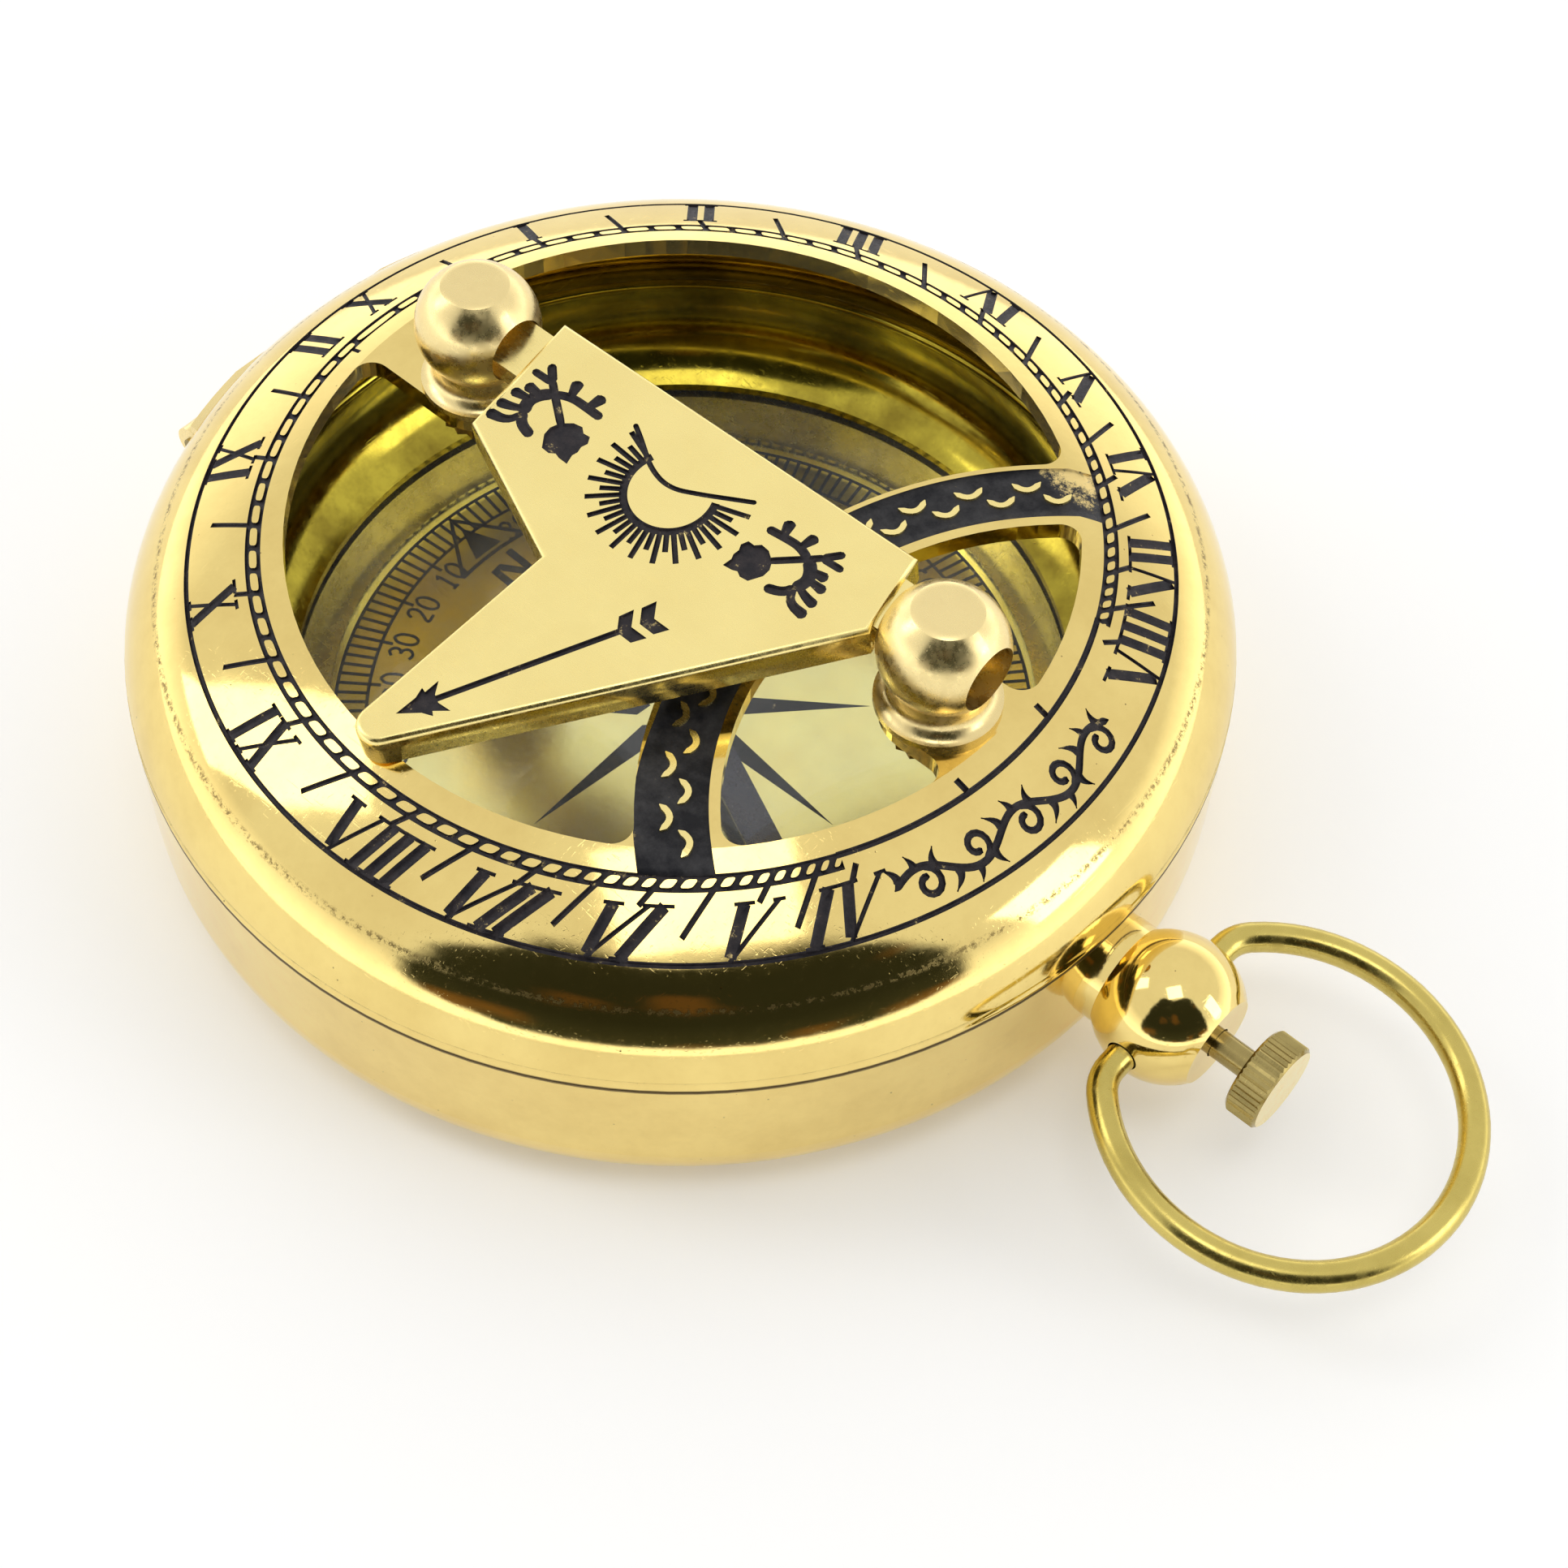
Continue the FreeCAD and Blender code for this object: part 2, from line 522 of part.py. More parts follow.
# ---- latch --------------------------------------------------------------------------
def latch_bracket():
    plate = block(EAR_BACK_X - 1, EAR_BACK_X + 1.1, -EAR_OUTER_Y, EAR_OUTER_Y, WALL, WALL + 0.3)
    ears = [block(EAR_BACK_X, LATCH_X + LATCH_EYE_R, EAR_INNER_Y, EAR_OUTER_Y, WALL, EAR_TOP_Z),
            block(EAR_BACK_X, LATCH_X + LATCH_EYE_R, -EAR_OUTER_Y, -EAR_INNER_Y, WALL, EAR_TOP_Z)]
    bracket = plate.fuse(ears).common(base_cavity())
    return bracket.cut(cross_rod(LATCH_PIN_R, -FAR, FAR, LATCH_X, LATCH_PIN_Z))


def latch_pin():
    return cross_rod(LATCH_PIN_R, -EAR_OUTER_Y - 0.1, EAR_OUTER_Y + 0.1, LATCH_X, LATCH_PIN_Z)


def latch_leaf():
    """Upright leaf on the pin, with a hook over the lid's strike."""
    half = LATCH_THICKNESS / 2
    top_z = LATCH_HOOK_Z + LATCH_HOOK_THICKNESS
    eye = cross_rod(LATCH_EYE_R, -LATCH_HALF_WIDTH, LATCH_HALF_WIDTH, LATCH_X, LATCH_PIN_Z)
    leaf = block(LATCH_X - half, LATCH_X + half, -LATCH_HALF_WIDTH, LATCH_HALF_WIDTH, LATCH_PIN_Z, top_z)
    hook = block(LATCH_X - half, LATCH_HOOK_TIP_X, -LATCH_HALF_WIDTH, LATCH_HALF_WIDTH, LATCH_HOOK_Z, top_z)
    bore = cross_rod(LATCH_PIN_R + LATCH_PIN_PLAY, -FAR, FAR, LATCH_X, LATCH_PIN_Z)
    return eye.fuse([leaf, hook]).cut(bore)


def all_nodes():
    return {
        "base_shell": base_shell(),
        "compass_card": compass_card(),
        "needle_pivot": needle_pivot(),
        "dial_ring": dial_ring(),
        "glass_crystal": glass_crystal(),
        "inner_bezel": inner_bezel(),
        "hinge_base_leaf": hinge_leaf(-1, 0, HINGE_PIN_R),
        "hinge_pin": hinge_pin(),
        "pendant_stud": pendant_stud(),
        "pendant_ball": pendant_ball(),
        "button_spring": button_spring(),
        "latch_bracket": latch_bracket(),
        "latch_pin": latch_pin(),
        "lid_shell": lid_shell(),
        "hinge_lid_leaf": hinge_leaf(1, 1, HINGE_PIN_R + HINGE_PIN_PLAY),
        "gnomon_post_south": gnomon_post(POST_SOUTH_X),
        "gnomon_post_north": gnomon_post(POST_NORTH_X),
        "post_nuts": post_nuts(),
        "lid_strike": lid_strike(),
        "gnomon_plate": gnomon_plate(),
        "bow_ring": bow_ring(),
        "button_head": button_head(),
        "button_stem": button_stem(),
        "latch_leaf": latch_leaf(),
        "compass_needle": compass_needle(),
        "needle_cap": needle_cap(),
    }


os.makedirs("parts", exist_ok=True)
for name, shape in all_nodes().items():
    shape.exportStep("parts/" + name + ".step")
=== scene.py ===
"""Looks of the pocket sundial: studio, camera, engraving, card print and materials.

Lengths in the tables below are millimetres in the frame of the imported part: +X is the
dial's south, towards the pendant, and XII lies at -X.
"""
import json
import bmesh
import bpy
from math import acos, atan2, ceil, copysign, cos, degrees, dist, hypot, pi, radians, sin, sqrt
from mathutils import Matrix, Vector


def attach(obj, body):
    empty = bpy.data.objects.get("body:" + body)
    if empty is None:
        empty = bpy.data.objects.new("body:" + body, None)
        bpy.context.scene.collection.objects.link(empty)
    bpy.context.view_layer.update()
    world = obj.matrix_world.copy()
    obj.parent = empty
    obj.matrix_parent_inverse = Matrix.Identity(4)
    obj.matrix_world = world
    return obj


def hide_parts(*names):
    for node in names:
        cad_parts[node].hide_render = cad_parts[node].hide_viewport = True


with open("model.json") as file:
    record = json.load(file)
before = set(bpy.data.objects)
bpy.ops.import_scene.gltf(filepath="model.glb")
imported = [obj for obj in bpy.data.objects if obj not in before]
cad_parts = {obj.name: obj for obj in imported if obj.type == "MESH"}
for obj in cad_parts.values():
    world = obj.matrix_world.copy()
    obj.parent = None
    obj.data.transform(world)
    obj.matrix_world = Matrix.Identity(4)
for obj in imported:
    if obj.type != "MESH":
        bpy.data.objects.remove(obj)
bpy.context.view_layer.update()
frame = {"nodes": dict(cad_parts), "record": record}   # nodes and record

MM = 0.001
WELD = 1e-7  # metres: points nearer than this are one point
NODES = frame["nodes"]

# ---- camera ----
CAMERA_TURN_DEG = -39.3  # turn of the part about the vertical before it is seen
CAMERA_TILT_DEG = 54.44
CAMERA_ROLL_DEG = 2.79
CAMERA_OFFSET = (-4.525, 7.9, -128.875)
CAMERA_PIVOT = (0.0, 0.0, 8.75)
LENS_MM = 65.217
SENSOR_MM = 36.0

# ---- lid ----
CREST = (17.35, 14.98)  # radius and height: inner edge of the hour ring
DIAL_FOOT = (21.83, 13.10)  # outer edge of the hour ring
SHOULDER_FOOT = (24.95, 9.40)
DIAL_BULGE = 0.09
SHOULDER_BULGE = 0.49

SEAM_Z = 8.75  # the lid meets the base here
CASE_R = 25.0

ENGRAVING_DEPTH = 0.13
CUTTER_RISE = 0.06  # the dial's cutters start this far above its surface
TRACK_INNER_R = 18.35
TRACK_OUTER_R = 19.05
TRACK_ENDS_DEG = (26.0, 332.6)  # azimuths of the two ends of the minute track
TRACK_RAIL = 0.18  # width of the black rail on each side of the brass islands
TRACK_BAR = 0.3  # width of the black bar between two islands
ISLANDS_PER_HOUR = 6
SHORT_ISLAND = 0.9  # shorter islands than this are squarer
TICK_OVERLAP = 0.1
STYLE_FOOT_X = 11.9  # the hour lines meet here, south of the centre
STYLE_FOOT_Y = {-1: -2.06, 1: 0.645}  # morning and afternoon lines start from their own foot
DIAL_LINE_R = 21.72
DIAL_LINE_WIDTH = 0.22
SOUTH_LINE_WIDTH = 0.26
TICK_WIDTH = 0.25
HALF_HOUR_TICK_R = 20.75
NUMERAL_TOP_R = 19.5
NUMERAL_FOOT_R = 21.66
# share of the hour line's lean that its numeral takes, for the first to the eighth hour
NUMERAL_LEAN = {
    -1: (0.0, 0.0, 0.45, 0.5, 1.1, 1.1, 1.1, 1.0),   # morning
    1: (0.0, 0.0, 0.4, 0.5, 0.8, 0.6, 0.5, 0.3),     # afternoon
}
HOURS = 8  # marked before and after noon
HOUR_DEG = 15
MORNING = "XI X IX VIII VII VI V IV".split()
AFTERNOON = "I II III IV V VI VII VIII".split()
THICK = 0.5  # widths of the letters' bars
THIN = 0.19
SERIF = 0.15
GLYPH_WIDTH = {"I": 0.8, "V": 2.05, "X": 1.8}
GLYPH_LOW = 0.03  # the bars' ends, as shares of the letter's height
GLYPH_HIGH = 0.97
THIN_SERIF_HALF = 0.26
V_SERIF_HALF = 0.42
V_THIN_INSET = 0.22
V_FEET = ((0.06, 0.06), (0.14, 0.0))  # lower ends of the thick and the thin bar
X_SERIF_OUT = 0.38  # reach of the thick bar's serifs, outwards and inwards
X_SERIF_IN = 0.4
NOON_X_DEG = 178.4  # XII straddles the noon gap: X on one side, II on the other
NOON_II_DEG = 188.2
LUG_TICKS = ((17.55, 18.15, 2.62, 0.3), (-17.75, -18.35, 2.55, 0.22))  # two ends, offset and width

SCROLL_R = 20.45
SCROLL_SHIFT_DEG = 1.5
SCROLL_FIRST = -7.6  # the stem's start, along the arc
SCROLL_PITCH = 2.6
SCROLL_UNITS = 5
SCROLL_WAVE = 0.5
SCROLL_LEAVES = ((0.12, -0.55, 0.95), (0.45, -0.25, 1.1), (0.78, 0.3, 1.0))  # place, lean and reach

BAND_CENTRE_X = 22.75  # crescent band
BLACK_INNER_R = 15.72
BLACK_OUTER_R = 18.5
BLACK_RUN_OUT = 0.3  # the enamel widens to the band's edge at its morning end
RUN_OUT_DEG = (208, 220)
BAND_DEPTH = 0.08
SCALE_PITCH_DEG = 8.6
SCALE_FIRST_DEG = 180.9
SCALE_ROWS = ((17.72, 17.3, 0.0), (16.98, 16.56, 0.5))  # radii of ends and middle, and stagger
SCALE_WIDTH = 0.28
SCALE_HALF_DEG = 2.1
SCALE_SPAN_DEG = (132, 229)
SCALE_MAX_R = 17.6  # no scale lies farther out on the dial
SCALE_PROUD = 0.012
SCALE_ROOT = 0.02  # the scales reach this far below the enamel's bed

# ---- gnomon ----
GNOMON_AXIS_Z = 18.4
PLATE_TILT_DEG = 8.2
PLATE_HALF_THICKNESS = 0.85
PLATE_DEPTH = 0.12
PLATE_RISE = 0.05  # the plate's cutters start this far above its face
SUN_CENTRE = (0.9, 1.7)
SUN_R = 1.84
SUN_RIM = 0.36  # width
SUN_LONG_RAY = 3.65
SUN_SHORT_RAY = 3.05
RAY_WIDTH = 0.25
FIRST_RAY_DEG = -18.0
RAY_STEP_DEG = 7.78
RAYS = 29
RIM_LEAD_DEG = 4  # the sun's rim starts this far before the first ray
HORIZON = ((-2.7, 0.05), (-1.9, 0.5), (-0.6, 1.35), (0.7, 1.62), (2.0, 1.0), (3.0, 0.45), (4.1, -0.15))
HORIZON_WIDTH = 0.24
# crossing of each sprig, direction of its bud, handedness and size
SPRIGS = (((-6.5, 1.07), 38.5, 1, 1.0), ((7.65, 0.62), 136.5, -1, 0.94))
ARROW_TIP = (-0.45, 16.8)
ARROW_TAIL = (4.7, 6.7)
SHAFT_WIDTH = 0.3
# outlines by distance back from their front and out to the side
ARROW_HEAD = ((0, 0), (1.0, 0.4), (1.4, 0.75), (1.45, 0.5), (2.15, 0.8), (1.8, 0.22))
FEATHER = ((0, 0), (0.35, 0.72), (1.05, 0.78), (0.65, 0), (1.05, -0.78), (0.35, -0.72))
FEATHERS_FROM_TAIL = (1.75, 0.75)

# ---- compass ----
CARD_Z = 1.3
NORTH_DEG = 178.0
INK_THICKNESS = 0.015
DEGREES_INNER_R = 15.0
DEGREES_OUTER_R = 16.5
FIGURE_R = 13.9
FIGURE_HEIGHT = 1.25
ROSE_RAYS = 8
ROSE_TURN_DEG = -2.5
ROSE_TIP_R = (9.7, 8.8)  # of every other ray
ROSE_SIDE_R = 2.3
ROSE_SIDE_DEG = 14
ROSE_NOTCH_R = 1.6
# outline and filled inside of the mark at north: radii of foot and tip, half width in degrees
NORTH_MARKS = ((13.3, 16.3, 9), (13.6, 15.6, 3.5))

# ---- materials ----
BRIGHT = (0.90, 0.70, 0.255)
DULL = (0.62, 0.42, 0.12)
SATIN = (0.94, 0.76, 0.36)
# painted highlight colour for the button's outward end face
END_HIGHLIGHT_BRASS = (0.93, 0.78, 0.36)
BARED_BRASS = (0.85, 0.66, 0.28)
PIT_BROWN = (0.10, 0.055, 0.02)
# brown of the polish residue, also used for the painted shade along the seam
RESIDUE_AND_SEAM_SHADE_BROWN = (0.09, 0.055, 0.02)
DUST_GREY = (0.76, 0.8, 0.86)
WHITE = (1.0, 1.0, 1.0)
RESIDUE_R = 23.25  # the line of polish residue, only on the lid
RESIDUE_ABOVE_Z = 11.0
SEAM_SHADE_REACH = 0.25  # the painted shade of the seam stays this near the outer wall
ENAMEL_RUBBED_AT = (10.9, 14.2, 15.0)

# ---- studio ----
ROOM_DARK = (0.03, 0.032, 0.02)
ROOM_WARM = (0.13, 0.07, 0.025)
OPENING_AZIMUTH_DEG = -47.0
OPENING_HALF_WIDTH_DEG = 50.0
OPENING_ELEVATION_DEG = 37.0
OPENING_HALF_HEIGHT_DEG = 31.0
HORIZON_STRENGTH = 1.7  # the tent is brighter low down
OVERHEAD_STRENGTH = 0.9
STRENGTH_FADE = (0.08, 0.42)  # from one to the other, as sines of the elevation
OPENING_POWER = 6.0  # rounds the opening's corners
FLOOR_DROP = 0.00002  # metres, so that the floor and the part's bottom don't meet
LIGHT_TARGET = (0.0, 0.0, 0.01)
# name, azimuth and elevation, distance, size and power
LIGHTS = (
    ("left_softbox", -152, 38, 0.6, (0.16, 0.4), 0.4),
    ("right_softbox", 24, 26, 0.6, (0.18, 0.26), 0.34),
    ("overhead_light", -38, 78, 0.6, (0.22, 0.18), 0.24),
)


ROUND = ("round", "round")  # the two ends of a stroke
SQUARE = ("square", "square")


# ---- small geometry helpers ----
def polar(radius, azimuth, centre=(0, 0)):
    angle = radians(azimuth)
    return (centre[0] + radius * cos(angle), centre[1] + radius * sin(angle))


def arc_centre(low, high, bulge):
    """Centre and radius of a profile arc from low to high that stands bulge proud of its chord."""
    low, high = Vector(low), Vector(high)
    chord = high - low
    outward = Vector((chord.y, -chord.x)).normalized()
    radius = (chord.length_squared / 4 + bulge * bulge) / (2 * bulge)
    return (low + high) / 2 - outward * (radius - bulge), radius


DIAL_ARC = arc_centre(DIAL_FOOT, CREST, DIAL_BULGE)
SHOULDER_ARC = arc_centre(SHOULDER_FOOT, DIAL_FOOT, SHOULDER_BULGE)


def lid_arc(radius):
    if radius <= CREST[0]:
        return None
    return DIAL_ARC if radius <= DIAL_FOOT[0] else SHOULDER_ARC


def lid_height(radius):
    """Height of the lid's outer surface at a distance from the axis."""
    arc = lid_arc(radius)
    if arc is None:
        return CREST[1]
    centre, size = arc
    return centre.y + sqrt(max(size * size - (radius - centre.x) ** 2, 0.0))


def on_lid(x, y, rise):
    """A point at that height above the lid's outer surface."""
    return Vector((x, y, lid_height(hypot(x, y)) + rise))


def on_plate(s, h, rise):
    """A point above the gnomon's upper face: s runs south, h from the hinge line to the tip."""
    tilt = radians(PLATE_TILT_DEG)
    up = PLATE_HALF_THICKNESS + rise
    return Vector((s, -h * cos(tilt) - up * sin(tilt),
                   GNOMON_AXIS_Z - h * sin(tilt) + up * cos(tilt)))


def on_card(x, y, rise):
    return Vector((x, y, CARD_Z + rise))


def unit(vector):
    size = hypot(*vector)
    return (vector[0] / size, vector[1] / size)


def widths_along(points, half, start, end):
    """Half widths at each point; an end is "square", "round", "narrow" or "point"."""
    total = [0.0]
    for a, b in zip(points, points[1:]):
        total.append(total[-1] + hypot(b[0] - a[0], b[1] - a[1]))
    halves = []
    for reach in total:
        here = half
        for kind, distance in ((start, reach), (end, total[-1] - reach)):
            if kind == "round" and distance < half:
                here = min(here, half * sqrt(max(1 - (1 - distance / half) ** 2, 0.02)))
            if kind == "narrow":
                here = min(here, half * (0.55 + 0.45 * distance / total[-1]))
            if kind == "point":
                here = min(here, max(half * distance / total[-1], 0.03))
        halves.append(here)
    return halves


def resample(points, step):
    """Points every step along a polyline, its own points kept."""
    out = [points[0]]
    for a, b in zip(points, points[1:]):
        parts = max(1, ceil(hypot(b[0] - a[0], b[1] - a[1]) / step))
        out += [(a[0] + (b[0] - a[0]) * k / parts, a[1] + (b[1] - a[1]) * k / parts)
                for k in range(1, parts + 1)]
    return out


def smooth(points, rounds=3):
    """Corner-cut polyline through the same ends."""
    for _ in range(rounds):
        out = [points[0]]
        for a, b in zip(points, points[1:]):
            out.append((a[0] * 0.75 + b[0] * 0.25, a[1] * 0.75 + b[1] * 0.25))
            out.append((a[0] * 0.25 + b[0] * 0.75, a[1] * 0.25 + b[1] * 0.75))
        points = out + [points[-1]]
    return points


class Solid:
    """A closed cutter or inlay: vertices in millimetres and faces."""

    def __init__(self, rings, closed=False):
        """Rings are equal loops of points, joined one to the next; open ends are capped."""
        count = len(rings[0])
        self.points = [point for ring in rings for point in ring]
        self.faces = []
        last = len(rings) if closed else len(rings) - 1
        for index in range(last):
            one = index * count
            two = ((index + 1) % len(rings)) * count
            for k in range(count):
                j = (k + 1) % count
                self.faces.append((one + k, one + j, two + j, two + k))
        if not closed:
            self.faces.append(tuple(reversed(range(count))))
            self.faces.append(tuple(range((len(rings) - 1) * count, len(rings) * count)))

    def box(self):
        xs = [p.x for p in self.points]
        ys = [p.y for p in self.points]
        return min(xs), max(xs), min(ys), max(ys)


def stroke(points, width, place, top, bottom, ends=SQUARE, taper=0.6, closed=False):
    """A bar of trapezoid section along a path on a surface."""
    halves = [width / 2] * len(points) if closed else widths_along(points, width / 2, *ends)
    rings = []
    count = len(points)
    for index, (point, half) in enumerate(zip(points, halves)):
        before = points[(index - 1) % count] if closed or index else point
        after = points[(index + 1) % count] if closed or index < count - 1 else point
        along = unit((after[0] - before[0], after[1] - before[1]))
        side = (-along[1], along[0])
        flare = half * (1 + (1 - taper) * top / max(abs(bottom), 1e-6)) if bottom < 0 else half
        wide, narrow = flare, half * taper
        rings.append([place(point[0] + side[0] * k, point[1] + side[1] * k, rise)
                      for k, rise in ((-wide, top), (wide, top), (narrow, bottom), (-narrow, bottom))])
    return Solid(rings, closed)


def slab(outline, place, top, bottom, taper=0.92):
    """A prism over a closed outline, drawn in towards its middle at the bottom."""
    cx = sum(p[0] for p in outline) / len(outline)
    cy = sum(p[1] for p in outline) / len(outline)
    upper = [place(x, y, top) for x, y in outline]
    lower = [place(cx + (x - cx) * taper, cy + (y - cy) * taper, bottom) for x, y in outline]
    return Solid([lower, upper])


def link(name, data, materials=()):
    """A new object in the scene."""
    for material in materials:
        data.materials.append(material)
    thing = bpy.data.objects.new(name, data)
    bpy.context.scene.collection.objects.link(thing)
    return thing


def mesh_from(name, solids, materials, fill=0):
    """One mesh object from solids, in metres, with outward faces; fill is its material's index."""
    mesh = bpy.data.meshes.new(name)
    points, faces = [], []
    for solid in solids:
        start = len(points)
        points += [p * MM for p in solid.points]
        faces += [tuple(start + k for k in face) for face in solid.faces]
    mesh.from_pydata(points, [], faces)
    work = bmesh.new()
    work.from_mesh(mesh)
    bmesh.ops.recalc_face_normals(work, faces=work.faces)
    for face in work.faces:
        face.material_index = fill
    work.to_mesh(mesh)
    work.free()
    return link(name, mesh, materials)


def in_groups(solids, margin=0.05):
    """Solids sorted into groups in which no two overlap in plan."""
    groups = []
    for solid in solids:
        x0, x1, y0, y1 = solid.box()
        for group in groups:
            if all(x1 + margin < a0 or x0 - margin > a1 or y1 + margin < b0 or y0 - margin > b1
                   for a0, a1, b0, b1 in (other.box() for other in group)):
                group.append(solid)
                break
        else:
            groups.append([solid])
    return groups


def cut(piece, cutter):
    """Take cutter away from piece for good."""
    step = piece.modifiers.new("cut", "BOOLEAN")
    step.operation = "DIFFERENCE"
    step.solver = "MANIFOLD"
    step.object = cutter
    evaluated = piece.evaluated_get(bpy.context.evaluated_depsgraph_get())
    result = bpy.data.meshes.new_from_object(evaluated)
    piece.modifiers.clear()
    piece.data = result
    bpy.data.objects.remove(cutter)


def carve(piece, solids, materials):
    """Cut grooves into a piece; their walls and floors take its second material."""
    for group in in_groups(solids):
        cut(piece, mesh_from("cutter", group, materials, fill=1))
    close_slivers(piece)


def close_slivers(piece):
    """Collapse edges and faces of no size, which the cuts leave behind."""
    work = bmesh.new()
    work.from_mesh(piece.data)
    bmesh.ops.dissolve_degenerate(work, edges=work.edges, dist=WELD)
    bmesh.ops.remove_doubles(work, verts=work.verts, dist=WELD)
    work.to_mesh(piece.data)
    work.free()


def copy_of(node, name, materials):
    """A welded copy of a CAD node's mesh as a new piece."""
    work = bmesh.new()
    work.from_mesh(NODES[node].data)
    bmesh.ops.remove_doubles(work, verts=work.verts, dist=WELD)
    mesh = bpy.data.meshes.new(name)
    work.to_mesh(mesh)
    work.free()
    return link(name, mesh, materials)


def dress_normals(piece, true_normals, sharp_deg=25):
    """Smooth shading with sharp edges; true_normals(centre, normal, points) knows the exact ones."""
    mesh = piece.data
    for face in mesh.polygons:
        face.use_smooth = face.material_index == 0
    mesh.set_sharp_from_angle(angle=radians(sharp_deg))
    normals = [Vector((0, 0, 0))] * len(mesh.loops)
    for face in mesh.polygons:
        if face.material_index:
            continue
        points = [mesh.vertices[index].co / MM for index in face.vertices]
        exact = true_normals(face.center / MM, face.normal, points)
        if exact is not None:
            for loop, normal in zip(face.loop_indices, exact):
                normals[loop] = normal
    mesh.normals_split_custom_set(normals)


def lid_normals(centre, normal, points):
    """Exact normals of the flat top and of the dome, or None elsewhere."""
    straight_up = 0.99999
    if normal.z > straight_up:
        return [Vector((0, 0, 1))] * len(points)
    radius = hypot(centre.x, centre.y)
    if not CREST[0] < radius < SHOULDER_FOOT[0] or abs(centre.z - lid_height(radius)) > 0.05:
        return None
    middle, _ = lid_arc(radius)
    exact = []
    for point in points:
        out = hypot(point.x, point.y)
        across = (out - middle.x) / out
        exact.append(Vector((across * point.x, across * point.y, point.z - middle.y)).normalized())
    return exact if min(vector.dot(normal) for vector in exact) > 0.97 else None


def plate_normals(centre, normal, points):
    """Exact normals of the gnomon's two flat faces, or None on its edges."""
    tilt = radians(PLATE_TILT_DEG)
    up = Vector((0, -sin(tilt), cos(tilt)))
    if abs(normal.dot(up)) < 0.9999:
        return None
    return [up * copysign(1, normal.dot(up))] * len(points)


# ---- dial engraving ----
def noon_foot(side, hours):
    """Foot of the hour line; lines beyond six o'clock start from the opposite foot."""
    return (STYLE_FOOT_X, STYLE_FOOT_Y[side if hours <= 6 else -side])


def line_azimuth(side, hours, radius):
    """Azimuth at which the hour line crosses a circle; side is -1 in the morning."""
    foot = noon_foot(side, hours)
    angle = radians(HOUR_DEG * hours)
    along = (-cos(angle), side * sin(angle))
    dot = foot[0] * along[0] + foot[1] * along[1]
    reach = -dot + sqrt(dot * dot + radius * radius - foot[0] ** 2 - foot[1] ** 2)
    return degrees(atan2(foot[1] + along[1] * reach, foot[0] + along[0] * reach)) % 360


def dial_point(side, hours, radius):
    return polar(radius, line_azimuth(side, hours, radius))


def ring_path(radius, start_deg, end_deg, step_deg=1.0):
    count = max(2, round(abs(end_deg - start_deg) / step_deg) + 1)
    return [polar(radius, start_deg + (end_deg - start_deg) * k / (count - 1)) for k in range(count)]


def circle(radius):
    step_deg = 1.5
    return ring_path(radius, 0, 360 - step_deg, step_deg)


def dial_stroke(points, width, **options):
    return stroke(points, width, on_lid, CUTTER_RISE, -ENGRAVING_DEPTH, **options)


def groove(points, width, **options):
    return dial_stroke(resample(points, 0.5), width, **options)


def glyph_bars(letter):
    """Bars of a Roman letter as (x, v) ends and widths; v is 0 at the feet and 1 at the tops."""
    half = GLYPH_WIDTH[letter] / 2
    low, high = GLYPH_LOW, GLYPH_HIGH

    def serif(x, v, before, after):
        return ((x - before, v), (x + after, v), SERIF)

    if letter == "I":
        return [((0, low), (0, high), THICK), serif(0, low, half, half), serif(0, high, half, half)]
    if letter == "V":
        left, right = -half + V_SERIF_HALF, half - V_THIN_INSET
        return [((left, high), V_FEET[0], THICK), ((right, high), V_FEET[1], THIN),
                serif(left, high, V_SERIF_HALF, V_SERIF_HALF),
                serif(right, high, THIN_SERIF_HALF, THIN_SERIF_HALF)]
    left, right = -half + X_SERIF_IN, half - X_SERIF_OUT
    return [((left, high), (right, low), THICK), ((right, high), (left, low), THIN),
            serif(left, high, X_SERIF_OUT, X_SERIF_IN), serif(right, high, THIN_SERIF_HALF, THIN_SERIF_HALF),
            serif(left, low, THIN_SERIF_HALF, THIN_SERIF_HALF), serif(right, low, X_SERIF_IN, X_SERIF_OUT)]


def letters_at(text, azimuth, lean_deg):
    """Grooves of Roman letters centred on an azimuth at their tops, feet outward and leaning."""
    start = -sum(GLYPH_WIDTH[letter] for letter in text) / 2
    grooves = []
    for letter in text:
        middle = start + GLYPH_WIDTH[letter] / 2
        for (x0, v0), (x1, v1), width in glyph_bars(letter):
            ends = []
            for x, v in ((x0, v0), (x1, v1)):
                radius = NUMERAL_FOOT_R + (NUMERAL_TOP_R - NUMERAL_FOOT_R) * v
                turn = degrees((middle + x) / radius) + lean_deg * (1 - v)
                ends.append(polar(radius, azimuth + turn))
            grooves.append(groove(ends, width))
        start += GLYPH_WIDTH[letter]
    return grooves


def numeral(text, side, hours):
    top = line_azimuth(side, hours, NUMERAL_TOP_R)
    lean = line_azimuth(side, hours, NUMERAL_FOOT_R) - top
    return letters_at(text, top, lean * NUMERAL_LEAN[side][hours - 1])


def track_islands():
    """Brass islands of the track, and one long one across the noon gap."""
    islands = []
    inner, outer = TRACK_INNER_R + TRACK_RAIL, TRACK_OUTER_R - TRACK_RAIL
    gaps = [((1, 0), (-1, 0))]
    for side in (-1, 1):
        gaps += [((side, k / ISLANDS_PER_HOUR), (side, (k + 1) / ISLANDS_PER_HOUR))
                 for k in range(HOURS * ISLANDS_PER_HOUR)]
    for one, two in gaps:
        a, d = dial_point(*one, inner), dial_point(*one, outer)
        b, c = dial_point(*two, inner), dial_point(*two, outer)
        islands.append(rounded_quad(a, b, c, d, TRACK_BAR))
    return islands


def between(p, q, t):
    return (p[0] + (q[0] - p[0]) * t, p[1] + (q[1] - p[1]) * t)


